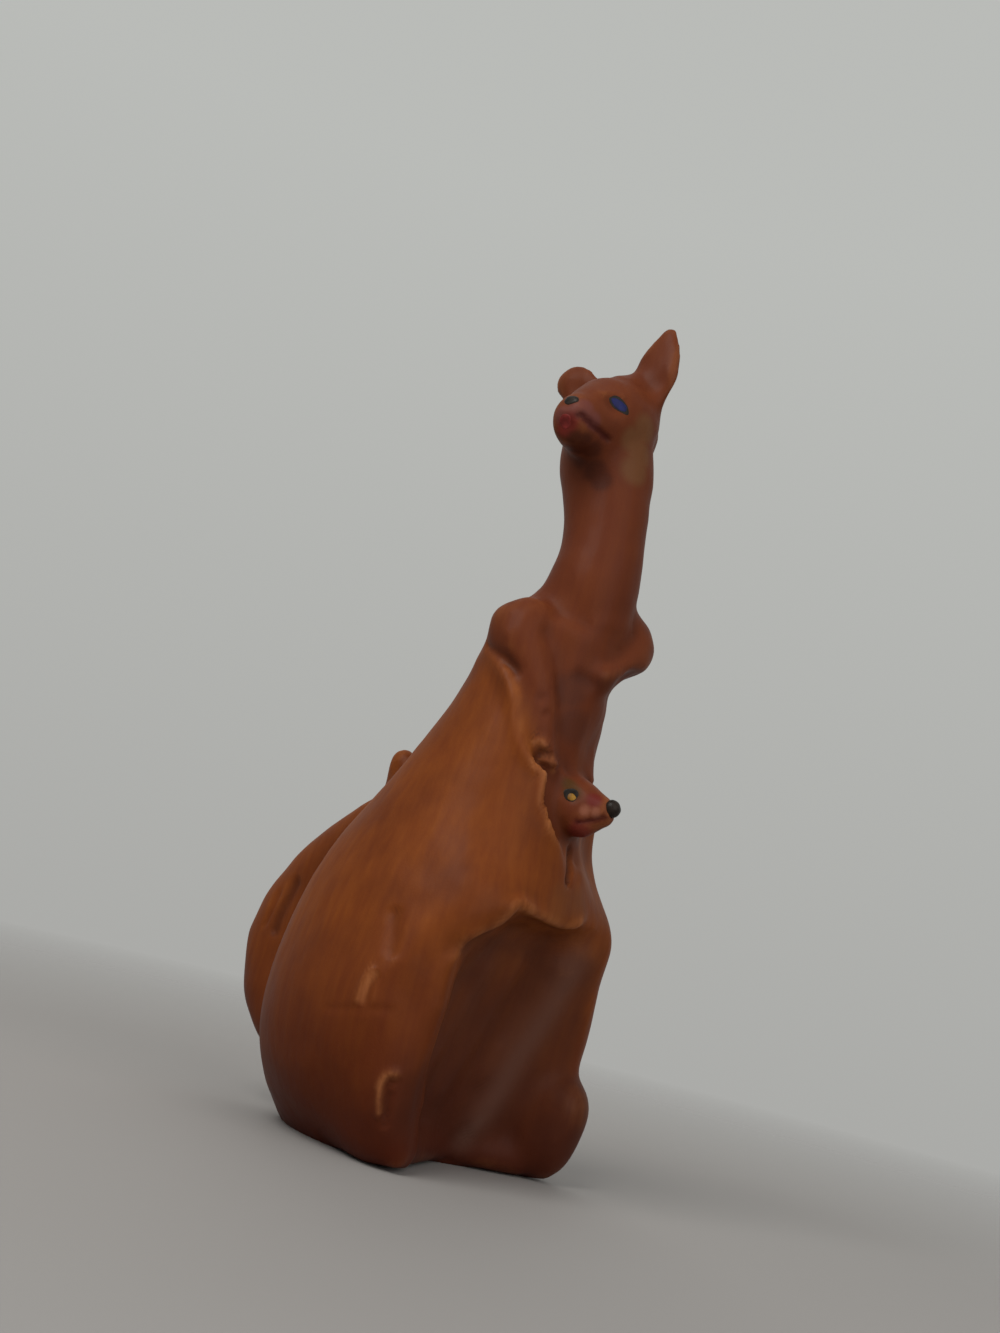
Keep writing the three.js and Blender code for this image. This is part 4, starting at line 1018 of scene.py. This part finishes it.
def camera():
    azimuth = math.radians(CAMERA_AZIMUTH)
    tilt = math.radians(CAMERA_LOOKS_UP)
    roll = math.radians(CAMERA_ROLL)
    towards = Vector((math.sin(azimuth), -math.cos(azimuth), 0))
    level = Vector((math.cos(azimuth), math.sin(azimuth), 0))
    upright = math.cos(tilt) * Vector((0, 0, 1)) + math.sin(tilt) * towards
    right = math.cos(roll) * level + math.sin(roll) * upright
    up = math.cos(roll) * upright - math.sin(roll) * level
    lens = bpy.data.cameras.new("camera")
    lens.sensor_width = SENSOR
    lens.lens = SENSOR * FOCAL_PIXELS / PHOTO_HEIGHT
    lens.clip_start = CAMERA_NEAR * MM
    eye = new_object("camera", lens)
    turn = Matrix((right, up, right.cross(up))).transposed().to_4x4()
    eye.matrix_world = Matrix.Translation(Vector(CAMERA_PLACE) * MM) @ turn
    bpy.context.scene.camera = eye


def world():
    """Soft light from all round, brighter from above, and a plain backdrop that camera and gloss see."""
    made = bpy.data.worlds.new("world")
    bpy.context.scene.world = made
    made.use_nodes = True
    tree = made.node_tree
    tree.nodes.clear()
    direction = wire(tree, "TexCoord", {}).outputs["Generated"]
    facing = wire(tree, "VectorMath", {0: direction, 1: LIGHT_FROM}, operation="DOT_PRODUCT")
    strength = ramp(tree, facing.outputs["Value"], *LIGHT_STRENGTH)
    light = wire(tree, "Background", {"Strength": strength})
    height = wire(tree, "SeparateXYZ", {0: direction}).outputs["Z"]
    colour = tint(tree, ramp(tree, height, *BACKDROP_FADE), BACKDROP_LOW, BACKDROP_HIGH)
    backdrop = wire(tree, "Background", {"Color": colour})
    path = wire(tree, "LightPath", {}).outputs
    seen = path["Is Camera Ray"]
    for ray in ("Is Glossy Ray", "Is Transmission Ray"):
        seen = math_node(tree, "MAXIMUM", seen, path[ray])
    both = wire(tree, "MixShader", {0: seen, 1: light.outputs[0], 2: backdrop.outputs[0]})
    wire(tree, "OutputWorld", {"Surface": both.outputs[0]})


def floor():
    """A round pale floor that fades out into the backdrop."""
    mesh = bpy.data.meshes.new("floor")
    sheet = bmesh.new()
    bmesh.ops.create_circle(sheet, cap_ends=True, segments=FLOOR_SIDES, radius=FLOOR_RADIUS)
    sheet.to_mesh(mesh)
    sheet.free()
    material, tree, shader = new_material("pale_floor")
    place = wire(tree, "TexCoord", {}).outputs["Object"]
    reach = wire(tree, "VectorMath", {0: place}, operation="LENGTH").outputs["Value"]
    shader.inputs["Base Color"].default_value = FLOOR_COLOUR
    shader.inputs["Roughness"].default_value = FLOOR_ROUGHNESS
    tree.links.new(ramp(tree, reach, *FLOOR_FADE), shader.inputs["Alpha"])
    mesh.materials.append(material)
    new_object("floor", mesh)


def lamps():
    for name, (place, size, power) in LAMPS.items():
        lamp = bpy.data.lights.new(name, "AREA")
        lamp.size = size
        lamp.energy = power
        lamp.color = LAMP_COLOUR
        holder = new_object(name, lamp)
        holder.location = place
        holder.rotation_euler = (Vector(LAMP_AIM) - Vector(place)).to_track_quat("-Z", "Y").to_euler()
        holder.visible_glossy = name != NOT_MIRRORED


skin = pressed_together()
sculpt(skin)
clay_pieces(skin)
enamel_pieces(skin.tree())
camera()
world()
floor()
lamps()
bpy.context.scene.view_settings.view_transform = "Standard"
